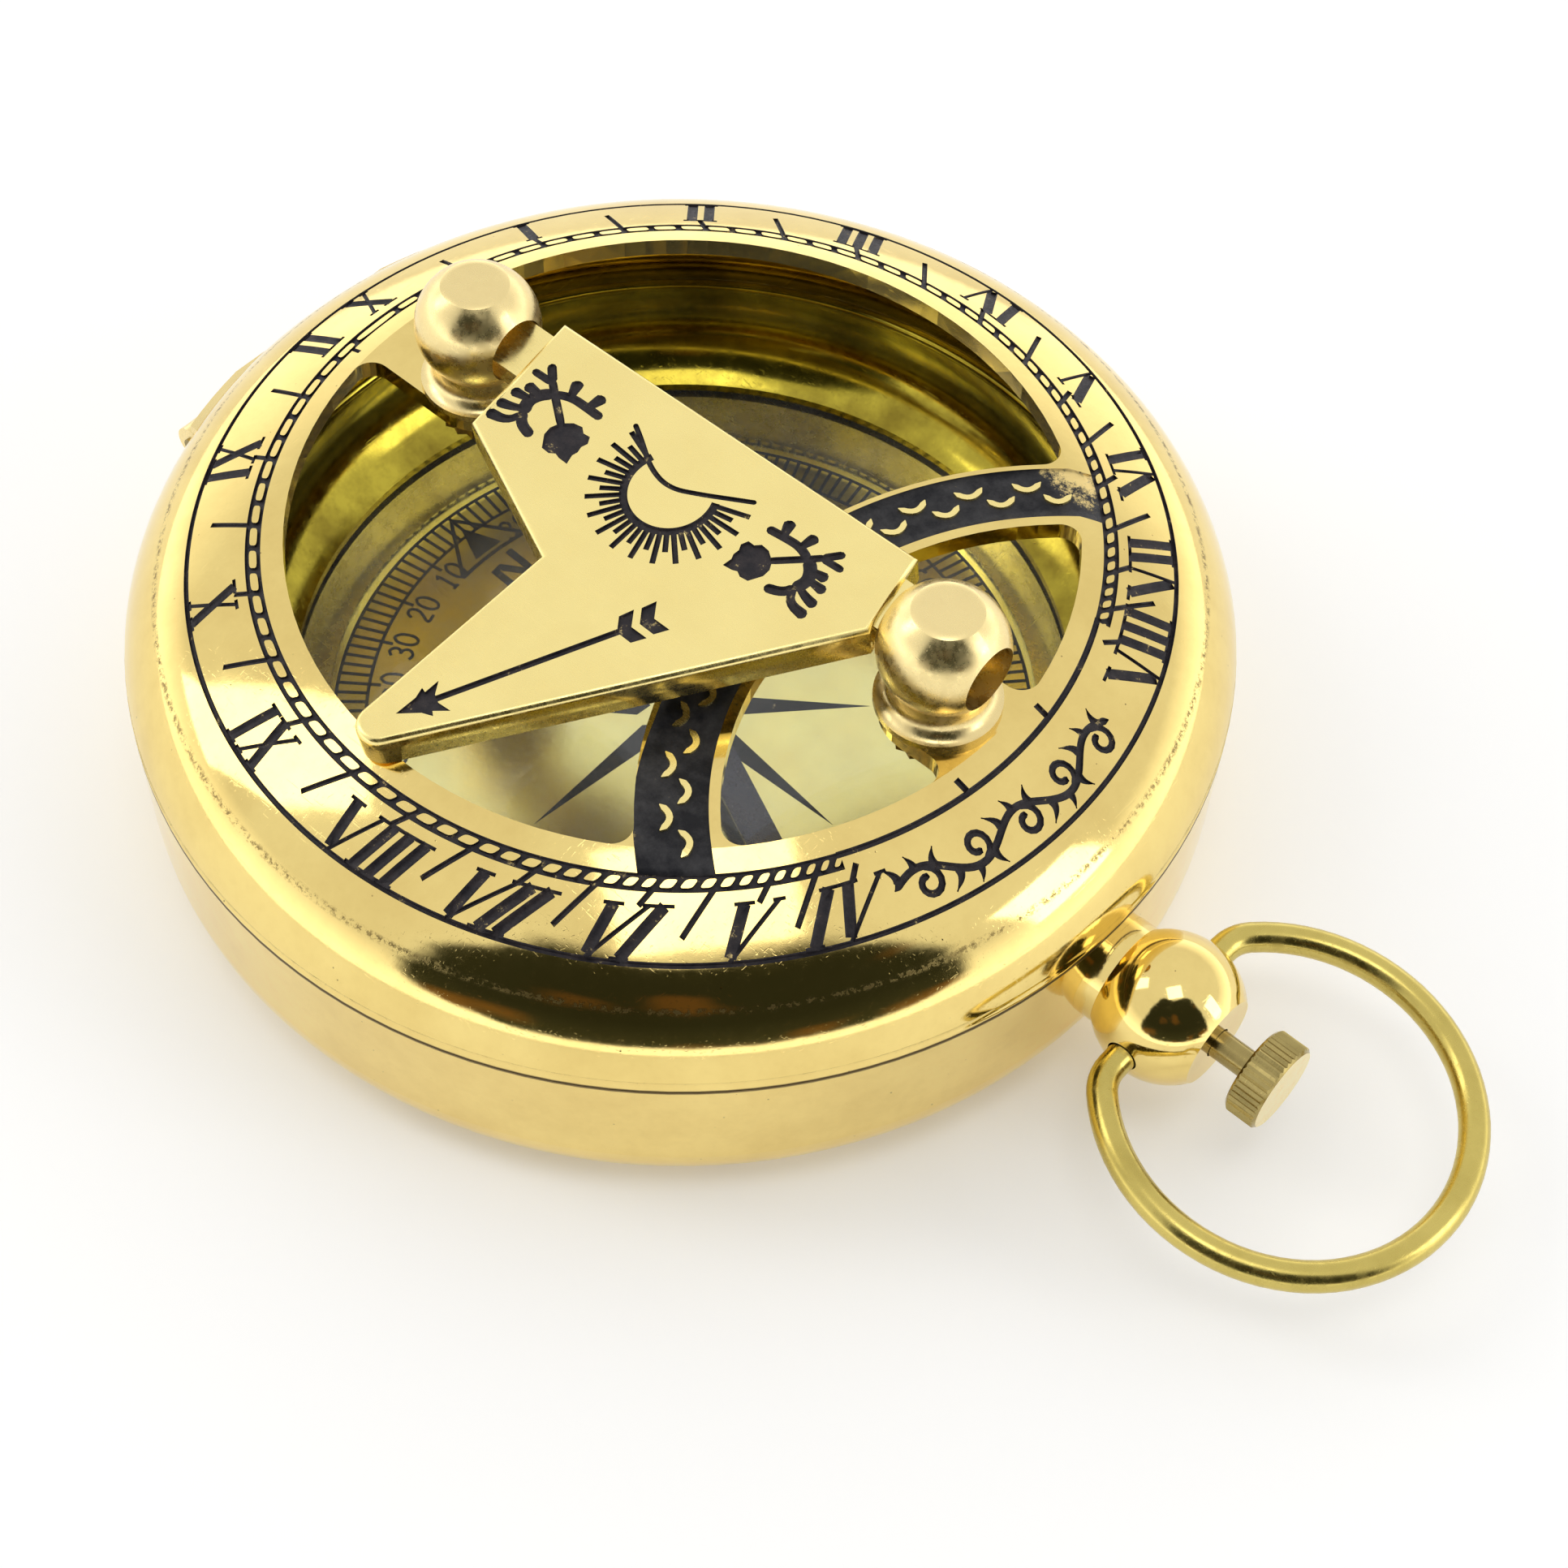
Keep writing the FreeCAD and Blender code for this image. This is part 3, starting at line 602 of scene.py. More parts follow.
def squircle(angle, squareness):
    """A point of a rounded square between 0 and 1; a smaller power makes it squarer."""
    return tuple(copysign(abs(k) ** squareness, k) / 2 + 0.5 for k in (cos(angle), sin(angle)))


def rounded_quad(a, b, c, d, inset):
    """Outline of a rounded four-sided island inside the quad, kept inset from its two ends."""
    length = max(dist(a, b), 1e-6)
    gap = min(inset / 2 / length, 0.3)
    squareness = 0.5 + 0.35 * max(0.0, 1 - length / SHORT_ISLAND)
    low = (between(a, b, gap), between(a, b, 1 - gap))
    high = (between(d, c, gap), between(d, c, 1 - gap))
    count = 16
    outline = []
    for k in range(count):
        u, v = squircle(2 * pi * (k + 0.5) / count, squareness)
        outline.append(between(between(low[0], low[1], u), between(high[0], high[1], u), v))
    return outline


def track_cutter(materials):
    """The black track as one cutter, with a hole for each brass island."""
    middle = (TRACK_INNER_R + TRACK_OUTER_R) / 2
    path = ring_path(middle, *TRACK_ENDS_DEG, 0.7)
    band = dial_stroke(path, TRACK_OUTER_R - TRACK_INNER_R, taper=0.9)
    cutter = mesh_from("track", [band], materials, fill=1)
    through = 0.5
    posts = [slab(outline, on_lid, through, -through, taper=1.0) for outline in track_islands()]
    for group in (posts[::2], posts[1::2]):
        cut(cutter, mesh_from("islands", group, materials, fill=1))
    return cutter


def hour_tick(side, hours, end_r):
    """A short line from the track towards an hour's numeral or between two of them."""
    return groove([dial_point(side, hours, TRACK_OUTER_R - TICK_OVERLAP), dial_point(side, hours, end_r)],
                  TICK_WIDTH)


def hour_marks():
    grooves = letters_at("X", NOON_X_DEG, 0.0) + letters_at("II", NOON_II_DEG, 0.0)
    for side, names in ((-1, MORNING), (1, AFTERNOON)):
        for hours in range(1, HOURS + 1):
            grooves += numeral(names[hours - 1], side, hours)
            grooves.append(hour_tick(side, hours, NUMERAL_TOP_R + TICK_OVERLAP))
        for hours in range(HOURS):
            grooves.append(hour_tick(side, hours + 0.5, HALF_HOUR_TICK_R))
    return grooves


def dial_lines():
    """The line round the hour ring, and the single line that closes the track in the south."""
    whole = dial_stroke(circle(DIAL_LINE_R), DIAL_LINE_WIDTH, closed=True)
    path = ring_path(TRACK_INNER_R + 0.1, TRACK_ENDS_DEG[1] - 360.5, TRACK_ENDS_DEG[0] + 0.5)
    return [whole, dial_stroke(path, SOUTH_LINE_WIDTH)]


def lug_ticks():
    """Short lines beside each lug, at the inner line of the dial."""
    return [groove([(start, side * offset), (end, side * offset)], width)
            for side in (-1, 1) for start, end, offset, width in LUG_TICKS]


def on_scroll(u, v):
    """A point u along the scroll's arc and v inwards from it."""
    return polar(SCROLL_R - v, degrees(u / SCROLL_R) - SCROLL_SHIFT_DEG)


def tendril(centre, up):
    points = []
    for k in range(17):
        angle = radians(100 - 25 * k)
        size = 0.64 - 0.026 * k
        points.append(on_scroll(centre[0] + size * cos(angle), centre[1] + up * size * sin(angle)))
    return dial_stroke(points, 0.3, ends=ROUND)


def scroll_leaf(foot, lean, rise):
    bend = (foot[0] + 0.1 * lean, (foot[1] + rise) / 2)
    tip = (foot[0] + lean, rise)
    path = smooth([on_scroll(*foot), on_scroll(*bend), on_scroll(*tip)], 2)
    return dial_stroke(path, 0.5, ends=("round", "point"))


def scroll():
    """A running leaf scroll on the south arc: a wavy stem, spiral tendrils and pointed leaves."""
    steps = 12
    stem = [on_scroll(SCROLL_FIRST + SCROLL_PITCH * k / steps, SCROLL_WAVE * sin(pi * k / steps))
            for k in range(SCROLL_UNITS * steps + 1)]
    grooves = [dial_stroke(stem, 0.32, ends=ROUND)]
    for index in range(SCROLL_UNITS):
        up = 1 if index % 2 == 0 else -1
        grooves.append(tendril((SCROLL_FIRST + SCROLL_PITCH * (index + 0.58), -0.2 * up), up))
        for start, lean, reach in SCROLL_LEAVES:
            foot = (SCROLL_FIRST + SCROLL_PITCH * (index + start), up * 0.42 * sin(pi * start))
            grooves.append(scroll_leaf(foot, lean, up * reach))
    return grooves


def crescent_cutter():
    """The enamelled part of the crescent band, out to the inner rail of the track."""
    centre = (BAND_CENTRE_X, 0.0)
    across = 7
    steps = 72
    end_r = TRACK_INNER_R + 0.1

    def half_span(radius):
        # angle at which a circle about the band's centre meets the track's rail
        cosine = (radius ** 2 + BAND_CENTRE_X ** 2 - end_r ** 2) / (2 * radius * BAND_CENTRE_X)
        return degrees(acos(cosine))

    rings = []
    for k in range(steps + 1):
        row = []
        for j in range(across):
            radius = BLACK_INNER_R + (BLACK_OUTER_R - BLACK_INNER_R) * j / (across - 1)
            angle = 180 + half_span(radius) * (2 * k / steps - 1)
            run_out = min(max((angle - RUN_OUT_DEG[0]) / (RUN_OUT_DEG[1] - RUN_OUT_DEG[0]), 0.0), 1.0)
            radius += BLACK_RUN_OUT * run_out * j / (across - 1)
            row.append(polar(radius, angle, centre))
        floor = [on_lid(*p, -BAND_DEPTH) for p in reversed(row)]
        rings.append([on_lid(*p, CUTTER_RISE) for p in row] + floor)
    return Solid(rings)


def scale_arcs():
    """Two staggered rows of brass fish-scale arcs that stand in the enamel."""
    arcs = []
    centre = (BAND_CENTRE_X, 0.0)
    first, last = SCALE_SPAN_DEG
    for ends_r, middle_r, offset in SCALE_ROWS:
        for k in range(-6, 7):
            middle = SCALE_FIRST_DEG + (k + offset) * SCALE_PITCH_DEG
            if not first < middle < last or hypot(*polar(middle_r, middle, centre)) > SCALE_MAX_R:
                continue
            path = []
            for step in range(9):
                t = step / 4 - 1
                radius = middle_r + (ends_r - middle_r) * t * t
                path.append(polar(radius, middle + SCALE_HALF_DEG * t, centre))
            arcs.append(stroke(path, SCALE_WIDTH, on_lid, SCALE_PROUD, -BAND_DEPTH - SCALE_ROOT,
                               ends=ROUND, taper=1.15))
    return arcs


# ---- gnomon engraving ----
def plate_groove(points, width, ends=SQUARE):
    return stroke(resample(points, 0.25), width, on_plate, PLATE_RISE, -PLATE_DEPTH, ends=ends)


def plate_area(outline):
    return slab(outline, on_plate, PLATE_RISE, -PLATE_DEPTH)


def sun():
    """A low sun cut off by a curved horizon, with rays of two lengths."""
    steps = 60
    turn = RAYS * RAY_STEP_DEG + 1
    rim = [polar(SUN_R + SUN_RIM / 2, FIRST_RAY_DEG - RIM_LEAD_DEG + turn * k / steps, SUN_CENTRE)
           for k in range(steps + 1)]
    grooves = [stroke(rim, SUN_RIM, on_plate, PLATE_RISE, -PLATE_DEPTH),
               plate_groove(smooth(HORIZON), HORIZON_WIDTH, ROUND)]
    for k in range(RAYS):
        angle = FIRST_RAY_DEG + RAY_STEP_DEG * k
        reach = SUN_LONG_RAY if k % 2 == 0 else SUN_SHORT_RAY
        grooves.append(plate_groove([polar(SUN_R + 0.1, angle, SUN_CENTRE), polar(reach, angle, SUN_CENTRE)],
                                    RAY_WIDTH))
    return grooves


SPRIG_STROKES = [
    # path from the crossing, along the bud's stem (u) and to its left (v), and width
    ([(-0.75, 0), (0, 0), (1.75, -0.05)], 0.38),
    ([(-0.6, 0), (-1.5, 0.75)], 0.38),
    ([(-0.6, 0), (-1.65, -0.1)], 0.42),
    ([(0, 0), (0.35, -0.7), (0.95, -1.2), (1.75, -1.8)], 0.44),
    ([(0, 0), (-0.1, 0.6), (0.1, 1.2), (0.75, 1.5)], 0.62),
    ([(0.6, 1.45), (1.2, 1.65), (2, 1.3)], 0.5),
]
SPRIG_LEAVES = [
    # path of each leaf from its foot to its round tip, and its greatest width
    ([(0.25, -0.7), (-0.45, -1.15)], 0.66),
    ([(1.05, -1.3), (0.65, -2.1)], 0.66),
    ([(0, 0.55), (-0.8, 1.15)], 0.6),
    ([(0.1, 1), (-0.65, 1.8)], 0.56),
    ([(0.5, 1.3), (0.25, 1.9), (-0.2, 2.5)], 0.56),
    ([(0.7, 1.45), (0.95, 2.2), (0.25, 3)], 0.58),
]
BUD = [(1.6, -0.15), (1.7, -0.6), (2, -0.95), (2.35, -0.95), (2.6, -1.2), (2.95, -1.05), (3.05, -0.75),
       (3.3, -0.55), (3.4, -0.3), (3.8, 0), (3.4, 0.3), (3.15, 0.4), (3.05, 0.7), (2.7, 0.95), (2.35, 0.85),
       (2, 0.75), (1.7, 0.45), (1.6, 0.1)]


def sprig(crossing, direction_deg, mirror, size):
    """A flowering sprig: two leafy twigs that cross the stem of a bud."""
    angle = radians(direction_deg)
    along = (cos(angle) * size, sin(angle) * size)
    left = (-along[1] * mirror, along[0] * mirror)

    def lay(point):
        return (crossing[0] + along[0] * point[0] + left[0] * point[1],
                crossing[1] + along[1] * point[0] + left[1] * point[1])

    grooves = []
    for strokes, ends in ((SPRIG_STROKES, ROUND), (SPRIG_LEAVES, ("narrow", "round"))):
        for path, width in strokes:
            grooves.append(plate_groove(smooth([lay(p) for p in path], 2), width * size, ends))
    grooves.append(plate_area([lay(p) for p in BUD]))
    return grooves


def arrow(tip, tail):
    """An arrow with a barbed head and two feathered chevrons."""
    along = unit((tip[0] - tail[0], tip[1] - tail[1]))
    side = (-along[1], along[0])

    def lay(back, out):
        return (tip[0] - along[0] * back + side[0] * out, tip[1] - along[1] * back + side[1] * out)

    length = dist(tip, tail)
    head = list(ARROW_HEAD) + [(back, -out) for back, out in reversed(ARROW_HEAD[1:])]
    grooves = [plate_groove([lay(1.2, 0), lay(length - 1.5, 0)], SHAFT_WIDTH),
               plate_area([lay(*point) for point in head])]
    for from_tail in FEATHERS_FROM_TAIL:
        grooves.append(plate_area([lay(length - from_tail + back, out) for back, out in FEATHER]))
    return grooves


def plate_marks():
    marks = sun()
    for placed in SPRIGS:
        marks += sprig(*placed)
    return marks + arrow(ARROW_TIP, ARROW_TAIL)


# ---- compass card ----
def ink(points, width, closed=False):
    return stroke(points, width, on_card, INK_THICKNESS, -INK_THICKNESS, taper=1.0, closed=closed)


def ink_area(outline):
    return slab(outline, on_card, INK_THICKNESS, -INK_THICKNESS, taper=1.0)


def rose():
    """Long tapering rays of two lengths."""
    marks = []
    for k in range(ROSE_RAYS):
        angle = ROSE_TURN_DEG + 360 / ROSE_RAYS * k
        marks.append(ink_area([polar(ROSE_SIDE_R, angle - ROSE_SIDE_DEG), polar(ROSE_TIP_R[k % 2], angle),
                               polar(ROSE_SIDE_R, angle + ROSE_SIDE_DEG), polar(ROSE_NOTCH_R, angle)]))
    return marks


def graduations():
    marks = []
    for radius in (DEGREES_INNER_R, DEGREES_OUTER_R):
        marks.append(ink(circle(radius), 0.16, closed=True))
    for degree in range(0, 360, 2):
        inner = DEGREES_INNER_R - (0.55 if degree % 10 == 0 else 0)
        azimuth = NORTH_DEG + degree
        marks.append(ink([polar(inner, azimuth), polar(DEGREES_OUTER_R, azimuth)], 0.17))
    return marks


SYMBOLS = {
    # strokes of each figure or letter in a box one wide and one high
    "0": [[(0.5, 1), (0.14, 0.82), (0.08, 0.5), (0.14, 0.18), (0.5, 0), (0.86, 0.18), (0.92, 0.5),
           (0.86, 0.82), (0.5, 1)]],
    "1": [[(0.3, 0.78), (0.55, 1), (0.55, 0)], [(0.3, 0), (0.8, 0)]],
    "2": [[(0.1, 0.75), (0.3, 0.98), (0.7, 0.98), (0.88, 0.72), (0.7, 0.45), (0.1, 0.02), (0.92, 0.02)]],
    "3": [[(0.12, 0.85), (0.5, 1), (0.85, 0.78), (0.72, 0.56), (0.42, 0.52)],
          [(0.42, 0.52), (0.78, 0.46), (0.9, 0.22), (0.5, 0), (0.1, 0.14)]],
    "4": [[(0.7, 0), (0.7, 1), (0.08, 0.3), (0.95, 0.3)]],
    "5": [[(0.85, 1), (0.2, 1), (0.16, 0.56), (0.6, 0.62), (0.9, 0.34), (0.6, 0.02), (0.12, 0.1)]],
    "6": [[(0.8, 0.95), (0.35, 0.85), (0.1, 0.4), (0.3, 0.04), (0.7, 0.04), (0.88, 0.3), (0.65, 0.54),
           (0.15, 0.42)]],
    "7": [[(0.1, 1), (0.9, 1), (0.4, 0)]],
    "8": [[(0.5, 0.54), (0.16, 0.76), (0.5, 1), (0.84, 0.76), (0.5, 0.54), (0.1, 0.26), (0.5, 0),
           (0.9, 0.26), (0.5, 0.54)]],
    "9": [[(0.2, 0.05), (0.65, 0.15), (0.9, 0.6), (0.7, 0.96), (0.3, 0.96), (0.12, 0.7), (0.35, 0.46),
           (0.85, 0.58)]],
    "E": [[(0.85, 1), (0.15, 1), (0.15, 0), (0.88, 0)], [(0.15, 0.52), (0.7, 0.52)]],
    "S": [[(0.85, 0.85), (0.5, 1), (0.15, 0.8), (0.3, 0.55), (0.75, 0.42), (0.85, 0.2), (0.5, 0),
           (0.12, 0.15)]],
    "W": [[(0.0, 1), (0.28, 0), (0.5, 0.8), (0.72, 0), (1.0, 1)]],
    "N": [[(0.1, 0), (0.1, 1), (0.9, 0), (0.9, 1)]],
}


def card_word(text, azimuth, foot_r, height, width, weight):
    """Figures or letters with their tops towards the rim, centred on an azimuth."""
    marks = []
    advance = width * 1.15
    for index, symbol in enumerate(text):
        middle = (index - (len(text) - 1) / 2) * advance
        for path in SYMBOLS[symbol]:
            points = []
            for x, y in smooth(path, 1 if symbol in "147ENW" else 2):
                radius = foot_r + y * height
                across = middle + (x - 0.5) * width
                points.append(polar(radius, azimuth - degrees(across / radius)))
            marks.append(ink(points, weight))
    return marks


def card_figures():
    marks = []
    for degree in range(10, 360, 10):
        if degree % 90:
            marks += card_word(str(degree), NORTH_DEG + degree, FIGURE_R - FIGURE_HEIGHT / 2,
                               FIGURE_HEIGHT, 0.72, 0.15)
    for letter, degree in (("W", 90), ("S", 180), ("E", 270)):
        marks += card_word(letter, NORTH_DEG + degree, FIGURE_R - 1.6, 2.2, 1.7, 0.36)
    marks += card_word("N", NORTH_DEG, 10.9, 2.0, 1.7, 0.4)
    outline, inside = (
        [polar(foot_r, NORTH_DEG - half), polar(tip_r, NORTH_DEG), polar(foot_r, NORTH_DEG + half)]
        for foot_r, tip_r, half in NORTH_MARKS)
    foot_r, _, half = NORTH_MARKS[0]
    foot = ring_path(foot_r, NORTH_DEG - half, NORTH_DEG + half)
    marks += [ink(resample(outline, 0.4), 0.2), ink(foot, 0.2)]
    marks.append(ink_area(inside))
    return marks


# ---- materials ----
def add(tree, kind, settings=None, **sockets):
    """A new shader node; _ in a socket's name stands for a space, and i0 is its first socket."""
    node = tree.nodes.new("ShaderNode" + kind)
    for key, value in (settings or {}).items():
        setattr(node, key, value)
    for key, value in sockets.items():
        by_index = key[0] == "i" and key[1:].isdigit()
        feed(tree, node.inputs[int(key[1:]) if by_index else key.replace("_", " ")], value)
    return node


def feed(tree, socket, value):
    """Link or set a socket; a colour is given without its alpha."""
    if isinstance(value, bpy.types.NodeSocket):
        tree.links.new(value, socket)
    else:
        socket.default_value = (*value, 1) if socket.type == "RGBA" else value


def new_tree(name):
    material = bpy.data.materials.new(name)
    material.use_nodes = True
    material.node_tree.nodes.clear()
    return material, material.node_tree


def millimetres(tree, stretch=(1, 1, 1), turn=(0, 0, 0)):
    """Object coordinates in millimetres, stretched and turned for grain."""
    place = add(tree, "TexCoord")
    return add(tree, "Mapping", Vector=place.outputs["Object"], Rotation=turn,
               Scale=tuple(k / MM for k in stretch)).outputs["Vector"]


def noise(tree, vector, scale, detail=4.0, rough=0.5):
    return add(tree, "TexNoise", Vector=vector, Scale=scale, Detail=detail,
               Roughness=rough).outputs["Fac"]


def remap(tree, value, low, high, to_low=0.0, to_high=1.0):
    return add(tree, "MapRange", i0=value, i1=low, i2=high, i3=to_low, i4=to_high).outputs[0]


def blend(tree, factor, one, two):
    mix = add(tree, "Mix", {"data_type": "RGBA"})
    for index, value in ((0, factor), (6, one), (7, two)):   # the sockets of the colour mix
        feed(tree, mix.inputs[index], value)
    return mix.outputs[2]


def maths(tree, operation, one, two=0.0, three=0.0):
    return add(tree, "Math", {"operation": operation}, i0=one, i1=two, i2=three).outputs[0]


def plus(tree, one, two):
    return maths(tree, "ADD", one, two)


def minus(tree, one, two):
    return maths(tree, "SUBTRACT", one, two)


def times(tree, one, two):
    return maths(tree, "MULTIPLY", one, two)


def size_of(tree, value):
    return maths(tree, "ABSOLUTE", value)


def split(tree, vector):
    return add(tree, "SeparateXYZ", Vector=vector).outputs


def bumped(tree, height, strength, distance):
    return add(tree, "Bump", Strength=strength, Distance=distance, Height=height).outputs["Normal"]


def principled(tree, colour, metallic, rough, normal, **more):
    return add(tree, "BsdfPrincipled", Base_Color=colour, Metallic=metallic, Roughness=rough,
               Normal=normal, **more)


def show(tree, shader, output="OutputMaterial"):
    add(tree, output, Surface=shader.outputs[0])


def metal(name, bright, dull, roughness, tarnish=0.4, scratch=0.5, grain=None, pits=0.0, extra=None):
    """Worn metal: tarnish clouds, hairline scratches, pits and a brushed grain where given."""
    material, tree = new_tree(name)
    place = millimetres(tree)
    clouds = remap(tree, noise(tree, place, 0.22, 5.0, 0.6), 0.38, 0.68, 0.0, tarnish)
    mottle = noise(tree, place, 1.7, 6.0, 0.65)
    colour = blend(tree, clouds, bright, dull)
    colour = blend(tree, remap(tree, mottle, 0.45, 0.75, 0.0, 0.35 * tarnish), colour, dull)
    hair_one = noise(tree, millimetres(tree, (0.35, 9, 9), (0.2, 0.1, 0.6)), 1.0, 2.0)
    hair_two = noise(tree, millimetres(tree, (9, 0.3, 9), (0.1, 0.3, -0.4)), 1.0, 2.0)
    hairs = plus(tree, remap(tree, hair_one, 0.66, 0.72), remap(tree, hair_two, 0.66, 0.72))
    rough = maths(tree, "MULTIPLY_ADD", hairs, 0.12 * scratch, roughness)
    rough = plus(tree, rough, remap(tree, mottle, 0.35, 0.75, -0.25 * roughness, 0.5 * roughness))
    height = times(tree, hairs, -0.4 * scratch)
    height = plus(tree, height, times(tree, mottle, 0.35))
    if grain:
        stretch, turn, strength = grain
        brushed = noise(tree, millimetres(tree, stretch, turn), 1.0, 3.0, 0.7)
        height = plus(tree, height, times(tree, brushed, strength))
        rough = plus(tree, rough, remap(tree, brushed, 0.3, 0.7, -0.04, 0.06))
    if pits:
        spots = add(tree, "TexVoronoi", Vector=place, Scale=1.3, Randomness=1.0).outputs["Distance"]
        chosen = remap(tree, noise(tree, place, 0.6, 2.0), 0.5, 0.6)
        holes = times(tree, remap(tree, spots, 0.07, 0.03), chosen)
        colour = blend(tree, times(tree, holes, pits), colour, PIT_BROWN)
        height = minus(tree, height, holes)
    if extra:
        colour, rough, height = extra(tree, place, colour, rough, height)
    show(tree, principled(tree, colour, 1.0, rough, bumped(tree, height, 0.6, 0.000006)))
    return material


def residue_and_grime(tree, place, colour, rough, height):
    """A faint broken line of polish residue round the shoulder, and painted shade along the seam of the lid.
    """
    x, y, z = split(tree, place)
    flat = add(tree, "CombineXYZ", X=x, Y=y).outputs[0]
    radius = add(tree, "VectorMath", {"operation": "LENGTH"}, i0=flat).outputs["Value"]
    from_line = size_of(tree, minus(tree, radius, RESIDUE_R))
    on_lid_side = maths(tree, "GREATER_THAN", z, RESIDUE_ABOVE_Z)
    near = times(tree, remap(tree, from_line, 0.16, 0.03), on_lid_side)
    dots = remap(tree, noise(tree, place, 3.6, 3.0, 0.8), 0.46, 0.58)
    line = times(tree, times(tree, near, dots), 0.75)
    from_seam = size_of(tree, minus(tree, z, SEAM_Z))
    from_wall = size_of(tree, minus(tree, radius, CASE_R))
    on_wall = maths(tree, "LESS_THAN", from_wall, SEAM_SHADE_REACH)
    # painted shade: a darker, rougher band either side of the seam where lid meets base
    seam = times(tree, remap(tree, from_seam, 0.17, 0.09, 0.0, 0.9), on_wall)
    residue_and_shade_mask = maths(tree, "MAXIMUM", line, seam)
    colour = blend(tree, residue_and_shade_mask, colour, RESIDUE_AND_SEAM_SHADE_BROWN)
    rough = plus(tree, rough, times(tree, residue_and_shade_mask, 0.4))
    return colour, rough, height


def bright_end(tree, place, colour, rough, height):
    """Painted highlight: the end face, which points outward along X, is painted brighter than the knurled
    side.
    """
    facing = split(tree, add(tree, "TexCoord").outputs["Normal"])["X"]
    face = remap(tree, facing, 0.8, 0.95)
    # the outward-facing end face takes the painted highlight colour
    return blend(tree, face, colour, END_HIGHLIGHT_BRASS), rough, height


def black_fill(name, base, worn, wear, rough, big=1.3, gloss_level=0.5, rubbed_at=None):
    """Black wax or enamel in metal, dusty and worn through in places, most of all at rubbed_at."""
    material, tree = new_tree(name)
    place = millimetres(tree)
    clouds = noise(tree, place, big, 8.0, 0.7)
    dust = noise(tree, place, 6.0, 6.0, 0.8)
    colour = blend(tree, remap(tree, clouds, 0.4, 0.72), base, worn)
    grime = plus(tree, clouds, times(tree, dust, 0.5))
    if rubbed_at:
        away = add(tree, "VectorMath", {"operation": "DISTANCE"}, i0=place, i1=rubbed_at).outputs["Value"]
        grime = plus(tree, grime, remap(tree, away, 2.8, 0.4, 0.0, 0.24))
    through = remap(tree, grime, 0.94 - wear, 1.04 - wear)
    colour = blend(tree, through, colour, BARED_BRASS)
    gloss = remap(tree, dust, 0.3, 0.7, rough - 0.12, rough + 0.18)
    show(tree, principled(tree, colour, through, gloss, bumped(tree, dust, 0.7, 0.00002),
                          Specular_IOR_Level=gloss_level))
    return material


def lacquered_card(name):
    """Lacquered brass-coloured card with foxing."""
    material, tree = new_tree(name)
    place = millimetres(tree)
    clouds = noise(tree, place, 0.3, 6.0, 0.6)
    fleck = noise(tree, place, 4.0, 6.0, 0.8)
    colour = blend(tree, remap(tree, clouds, 0.35, 0.7), (1.0, 0.93, 0.38), (0.96, 0.84, 0.31))
    colour = blend(tree, remap(tree, fleck, 0.62, 0.72, 0.0, 0.6), colour, (0.25, 0.16, 0.05))
    rough = remap(tree, fleck, 0.3, 0.7, 0.09, 0.2)
    show(tree, principled(tree, colour, 1.0, rough, bumped(tree, fleck, 0.4, 0.00001)))
    return material


def clear_glass(name):
    """Flat glass under a thin film of dust, that lets the lamps through to the card."""
    material, tree = new_tree(name)
    place = millimetres(tree)
    haze = remap(tree, noise(tree, place, 0.5, 6.0, 0.7), 0.4, 0.75, 0.0, 0.03)
    glass = add(tree, "BsdfPrincipled", Base_Color=WHITE, Roughness=haze, IOR=1.35, Transmission_Weight=1.0)
    dust = add(tree, "BsdfDiffuse", Color=DUST_GREY)
    film = remap(tree, noise(tree, place, 0.25, 5.0, 0.7), 0.35, 0.7, 0.03, 0.1)
    dusty = add(tree, "MixShader", i0=film, i1=glass.outputs["BSDF"], i2=dust.outputs["BSDF"])
    clear = add(tree, "BsdfTransparent", Color=WHITE)
    shadow_ray = add(tree, "LightPath").outputs["Is Shadow Ray"]
    show(tree, add(tree, "MixShader", i0=shadow_ray, i1=dusty.outputs["Shader"], i2=clear.outputs["BSDF"]))
    return material


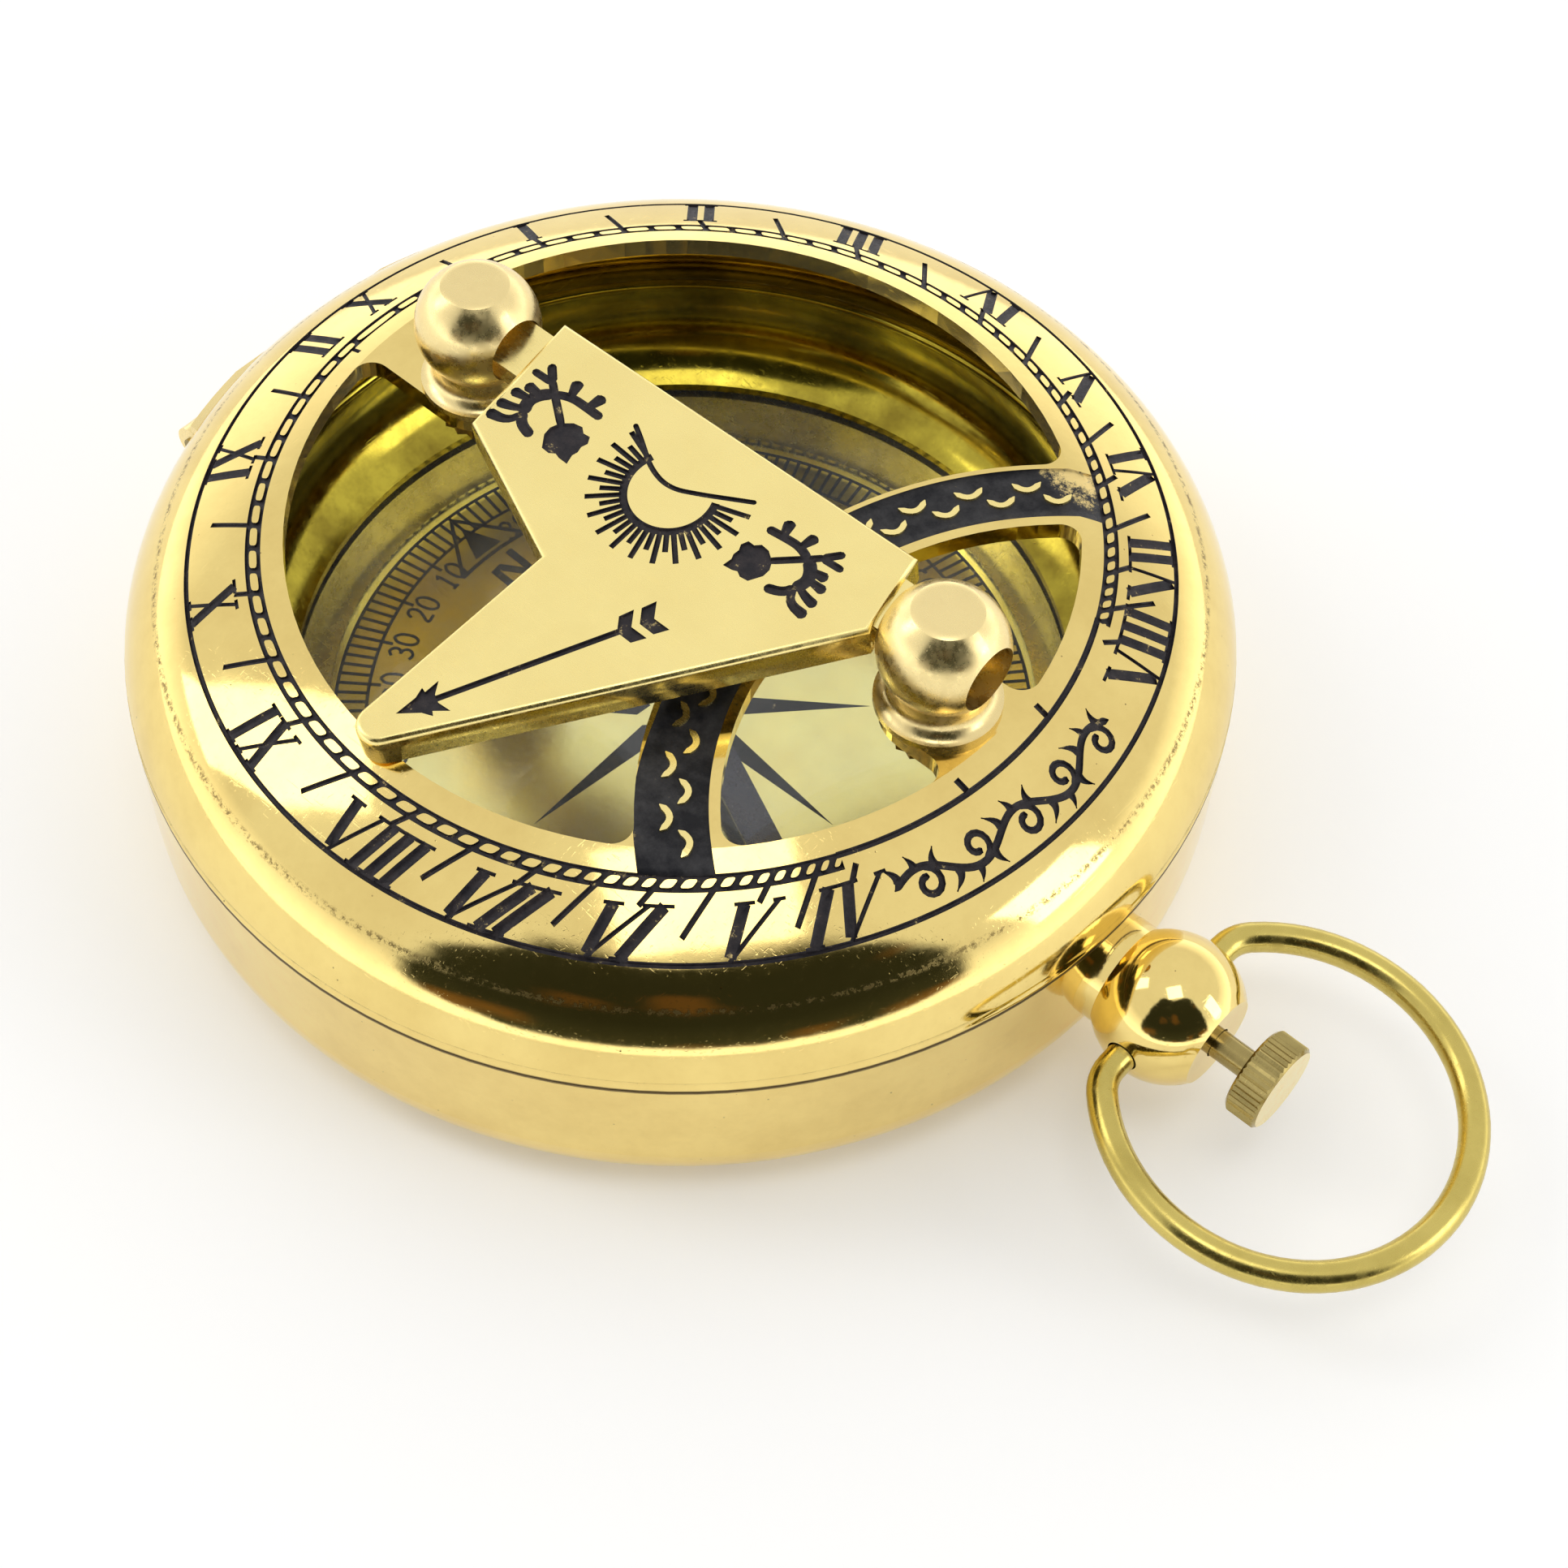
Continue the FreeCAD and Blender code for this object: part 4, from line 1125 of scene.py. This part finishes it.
def make_materials():
    """Materials by material slot, or by node where one piece has its own."""
    return {
        "case_brass": metal("polished_case_brass", BRIGHT, DULL, 0.075, 0.3, 0.5, pits=0.7,
                            extra=residue_and_grime),
        "bezel_brass": metal("olive_bezel_brass", (0.53, 0.43, 0.05), (0.22, 0.16, 0.02), 0.13, 1.0, 0.6,
                             pits=0.8),
        "post_brass": metal("satin_post_brass", SATIN, (0.68, 0.52, 0.24), 0.27, 0.4, 0.7),
        "gnomon_brass": metal("brushed_gnomon_brass", (1.0, 0.83, 0.34), (0.8, 0.6, 0.2), 0.24, 0.2, 0.4,
                              grain=((0.5, 14, 14), (0, 0, 0.15), 0.35)),
        "fastener_brass": metal("dark_fastener_brass", (0.46, 0.3, 0.1), (0.16, 0.09, 0.03), 0.4, 0.9, 0.8,
                                pits=1.0),
        "bow_brass": metal("satin_bow_brass", (0.66, 0.53, 0.15), (0.44, 0.34, 0.08), 0.24, 0.6, 0.9),
        "button_brass": metal("knurled_button_brass", (0.44, 0.35, 0.13), (0.24, 0.17, 0.06), 0.2, 0.6, 0.8,
                              grain=((12, 0.5, 0.5), (0, 0, 0), 0.8), extra=bright_end),
        "spring_steel": metal("spring_steel", (0.45, 0.45, 0.46), (0.2, 0.19, 0.18), 0.3, 0.5, 0.6),
        "blued_steel": metal("blued_steel", (0.035, 0.04, 0.06), (0.1, 0.08, 0.06), 0.25, 0.4, 0.6),
        "card_print": lacquered_card("lacquered_card"),
        "dial_ring": metal("frosted_ring_brass", (0.84, 0.74, 0.27), (0.5, 0.42, 0.13), 0.24, 0.7, 0.6),
        "hinge_pin": metal("aged_pin_brass", (0.3, 0.23, 0.08), (0.12, 0.09, 0.03), 0.35, 0.8, 0.8, pits=0.8),
        "crystal": clear_glass("crystal_glass"),
    }


def dress_cad(materials):
    """Give every CAD node the material made for it, or else the one for its slot."""
    for part in frame["record"]["subparts"]:
        node = NODES[part["node"]]
        node.data.materials.clear()
        node.data.materials.append(materials.get(part["node"], materials[part["material_slot"]]))


# ---- pieces ----
def engraved_lid(materials, groove_black, enamel):
    """The lid with its dial cut in: black grooves and the sunk, enamelled crescent."""
    fills = [materials["case_brass"], groove_black, enamel]
    piece = copy_of("lid_shell", "engraved_lid", fills)
    cut(piece, track_cutter(fills))
    cut(piece, mesh_from("crescent", [crescent_cutter()], fills, fill=2))
    carve(piece, dial_lines() + hour_marks() + lug_ticks() + scroll(), fills)
    dress_normals(piece, lid_normals)
    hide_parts("lid_shell")
    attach(piece, "lid")
    scales = mesh_from("crescent_scales", scale_arcs(), [materials["gnomon_brass"]])
    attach(scales, "lid")


def engraved_gnomon(materials, groove_black):
    fills = [materials["gnomon_brass"], groove_black]
    piece = copy_of("gnomon_plate", "engraved_gnomon", fills)
    carve(piece, plate_marks(), fills)
    dress_normals(piece, plate_normals)
    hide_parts("gnomon_plate")
    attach(piece, "gnomon")


def printed_card(ink_black):
    piece = mesh_from("card_ink", rose() + graduations() + card_figures(), [ink_black])
    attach(piece, "base")


# ---- studio ----
def make_camera():
    turn = Matrix.Rotation(radians(CAMERA_TURN_DEG), 3, "Z")
    tilt = Matrix.Rotation(radians(CAMERA_TILT_DEG) - pi / 2, 3, "X")
    roll = Matrix.Rotation(-radians(CAMERA_ROLL_DEG), 3, "Z")
    to_camera = roll @ tilt @ turn
    back = to_camera.transposed()
    place = back @ -Vector(CAMERA_OFFSET) + Vector(CAMERA_PIVOT)
    lens = bpy.data.cameras.new("camera")
    lens.lens = LENS_MM
    lens.sensor_width = SENSOR_MM
    lens.clip_start = 0.005
    camera = link("camera", lens)
    camera.matrix_world = Matrix.Translation(place * MM) @ back.to_4x4()
    bpy.context.scene.camera = camera


def make_floor():
    material, tree = new_tree("studio_floor")
    show(tree, add(tree, "BsdfPrincipled", Base_Color=(0.96, 0.96, 0.96), Roughness=0.8,
                   Emission_Color=WHITE, Emission_Strength=0.17))
    mesh = bpy.data.meshes.new("studio_floor")
    half = 2.0
    corners = [(-half, -half, 0), (half, -half, 0), (half, half, 0), (-half, half, 0)]
    mesh.from_pydata(corners, [], [(0, 1, 2, 3)])
    floor = link("studio_floor", mesh, [material])
    floor.location.z = -FLOOR_DROP


def area_light(name, azimuth, elevation, distance, size, power):
    """A rectangular lamp aimed at the part; lengths in metres and angles in degrees."""
    lamp = bpy.data.lights.new(name, "AREA")
    lamp.shape = "RECTANGLE"
    lamp.size, lamp.size_y = size
    lamp.energy = power
    light = link(name, lamp)
    rise = radians(elevation)
    light.location = (*polar(cos(rise) * distance, azimuth), distance * sin(rise))
    towards = Vector(LIGHT_TARGET) - light.location
    light.rotation_euler = towards.to_track_quat("-Z", "Y").to_euler()


def opening_reach(tree, way, x, y, z):
    """Less than one inside the tent's dark opening, which has rounded corners and a wavy edge."""
    azimuth = maths(tree, "ARCTAN2", y, x)
    elevation = maths(tree, "ARCSINE", z)
    across = maths(tree, "DIVIDE", azimuth, radians(OPENING_HALF_WIDTH_DEG))
    rise = minus(tree, elevation, radians(OPENING_ELEVATION_DEG))
    upward = maths(tree, "DIVIDE", rise, radians(OPENING_HALF_HEIGHT_DEG))
    reach = plus(tree, maths(tree, "POWER", size_of(tree, across), OPENING_POWER),
                 maths(tree, "POWER", size_of(tree, upward), OPENING_POWER))
    return plus(tree, reach, remap(tree, noise(tree, way, 4.0, 3.0), 0.3, 0.7, -0.25, 0.25))


def make_world():
    """A light tent with one dark opening, where the room shows in the polished metal."""
    world = bpy.data.worlds.new("studio")
    bpy.context.scene.world = world
    world.use_nodes = True
    tree = world.node_tree
    tree.nodes.clear()
    way = add(tree, "TexCoord").outputs["Generated"]
    turned = add(tree, "VectorRotate", {"rotation_type": "Z_AXIS"}, Vector=way,
                 Angle=-radians(OPENING_AZIMUTH_DEG)).outputs["Vector"]
    x, y, z = split(tree, turned)
    dark = remap(tree, opening_reach(tree, way, x, y, z), 1.25, 0.85)
    room = blend(tree, remap(tree, noise(tree, way, 3.2, 1.0), 0.6, 0.72), ROOM_DARK, ROOM_WARM)
    colour = blend(tree, dark, WHITE, room)
    strength = remap(tree, z, *STRENGTH_FADE, HORIZON_STRENGTH, OVERHEAD_STRENGTH)
    show(tree, add(tree, "Background", Color=colour, Strength=strength), "OutputWorld")


make_camera()
make_floor()
make_world()
for light in LIGHTS:
    area_light(*light)
bpy.context.scene.view_settings.view_transform = "Standard"
finishes = make_materials()
dress_cad(finishes)
engraving_black = black_fill("engraving_black", (0.01, 0.008, 0.012), (0.045, 0.034, 0.034), 0.05, 0.45,
                             gloss_level=0.3)
band_enamel = black_fill("band_enamel", (0.006, 0.006, 0.009), (0.06, 0.058, 0.06), 0.02, 0.45, 0.5, 0.24,
                         ENAMEL_RUBBED_AT)
card_black = black_fill("card_black", (0.01, 0.01, 0.008), (0.03, 0.027, 0.02), 0.02, 0.6, gloss_level=0.15)
engraved_lid(finishes, engraving_black, band_enamel)
engraved_gnomon(finishes, engraving_black)
printed_card(card_black)
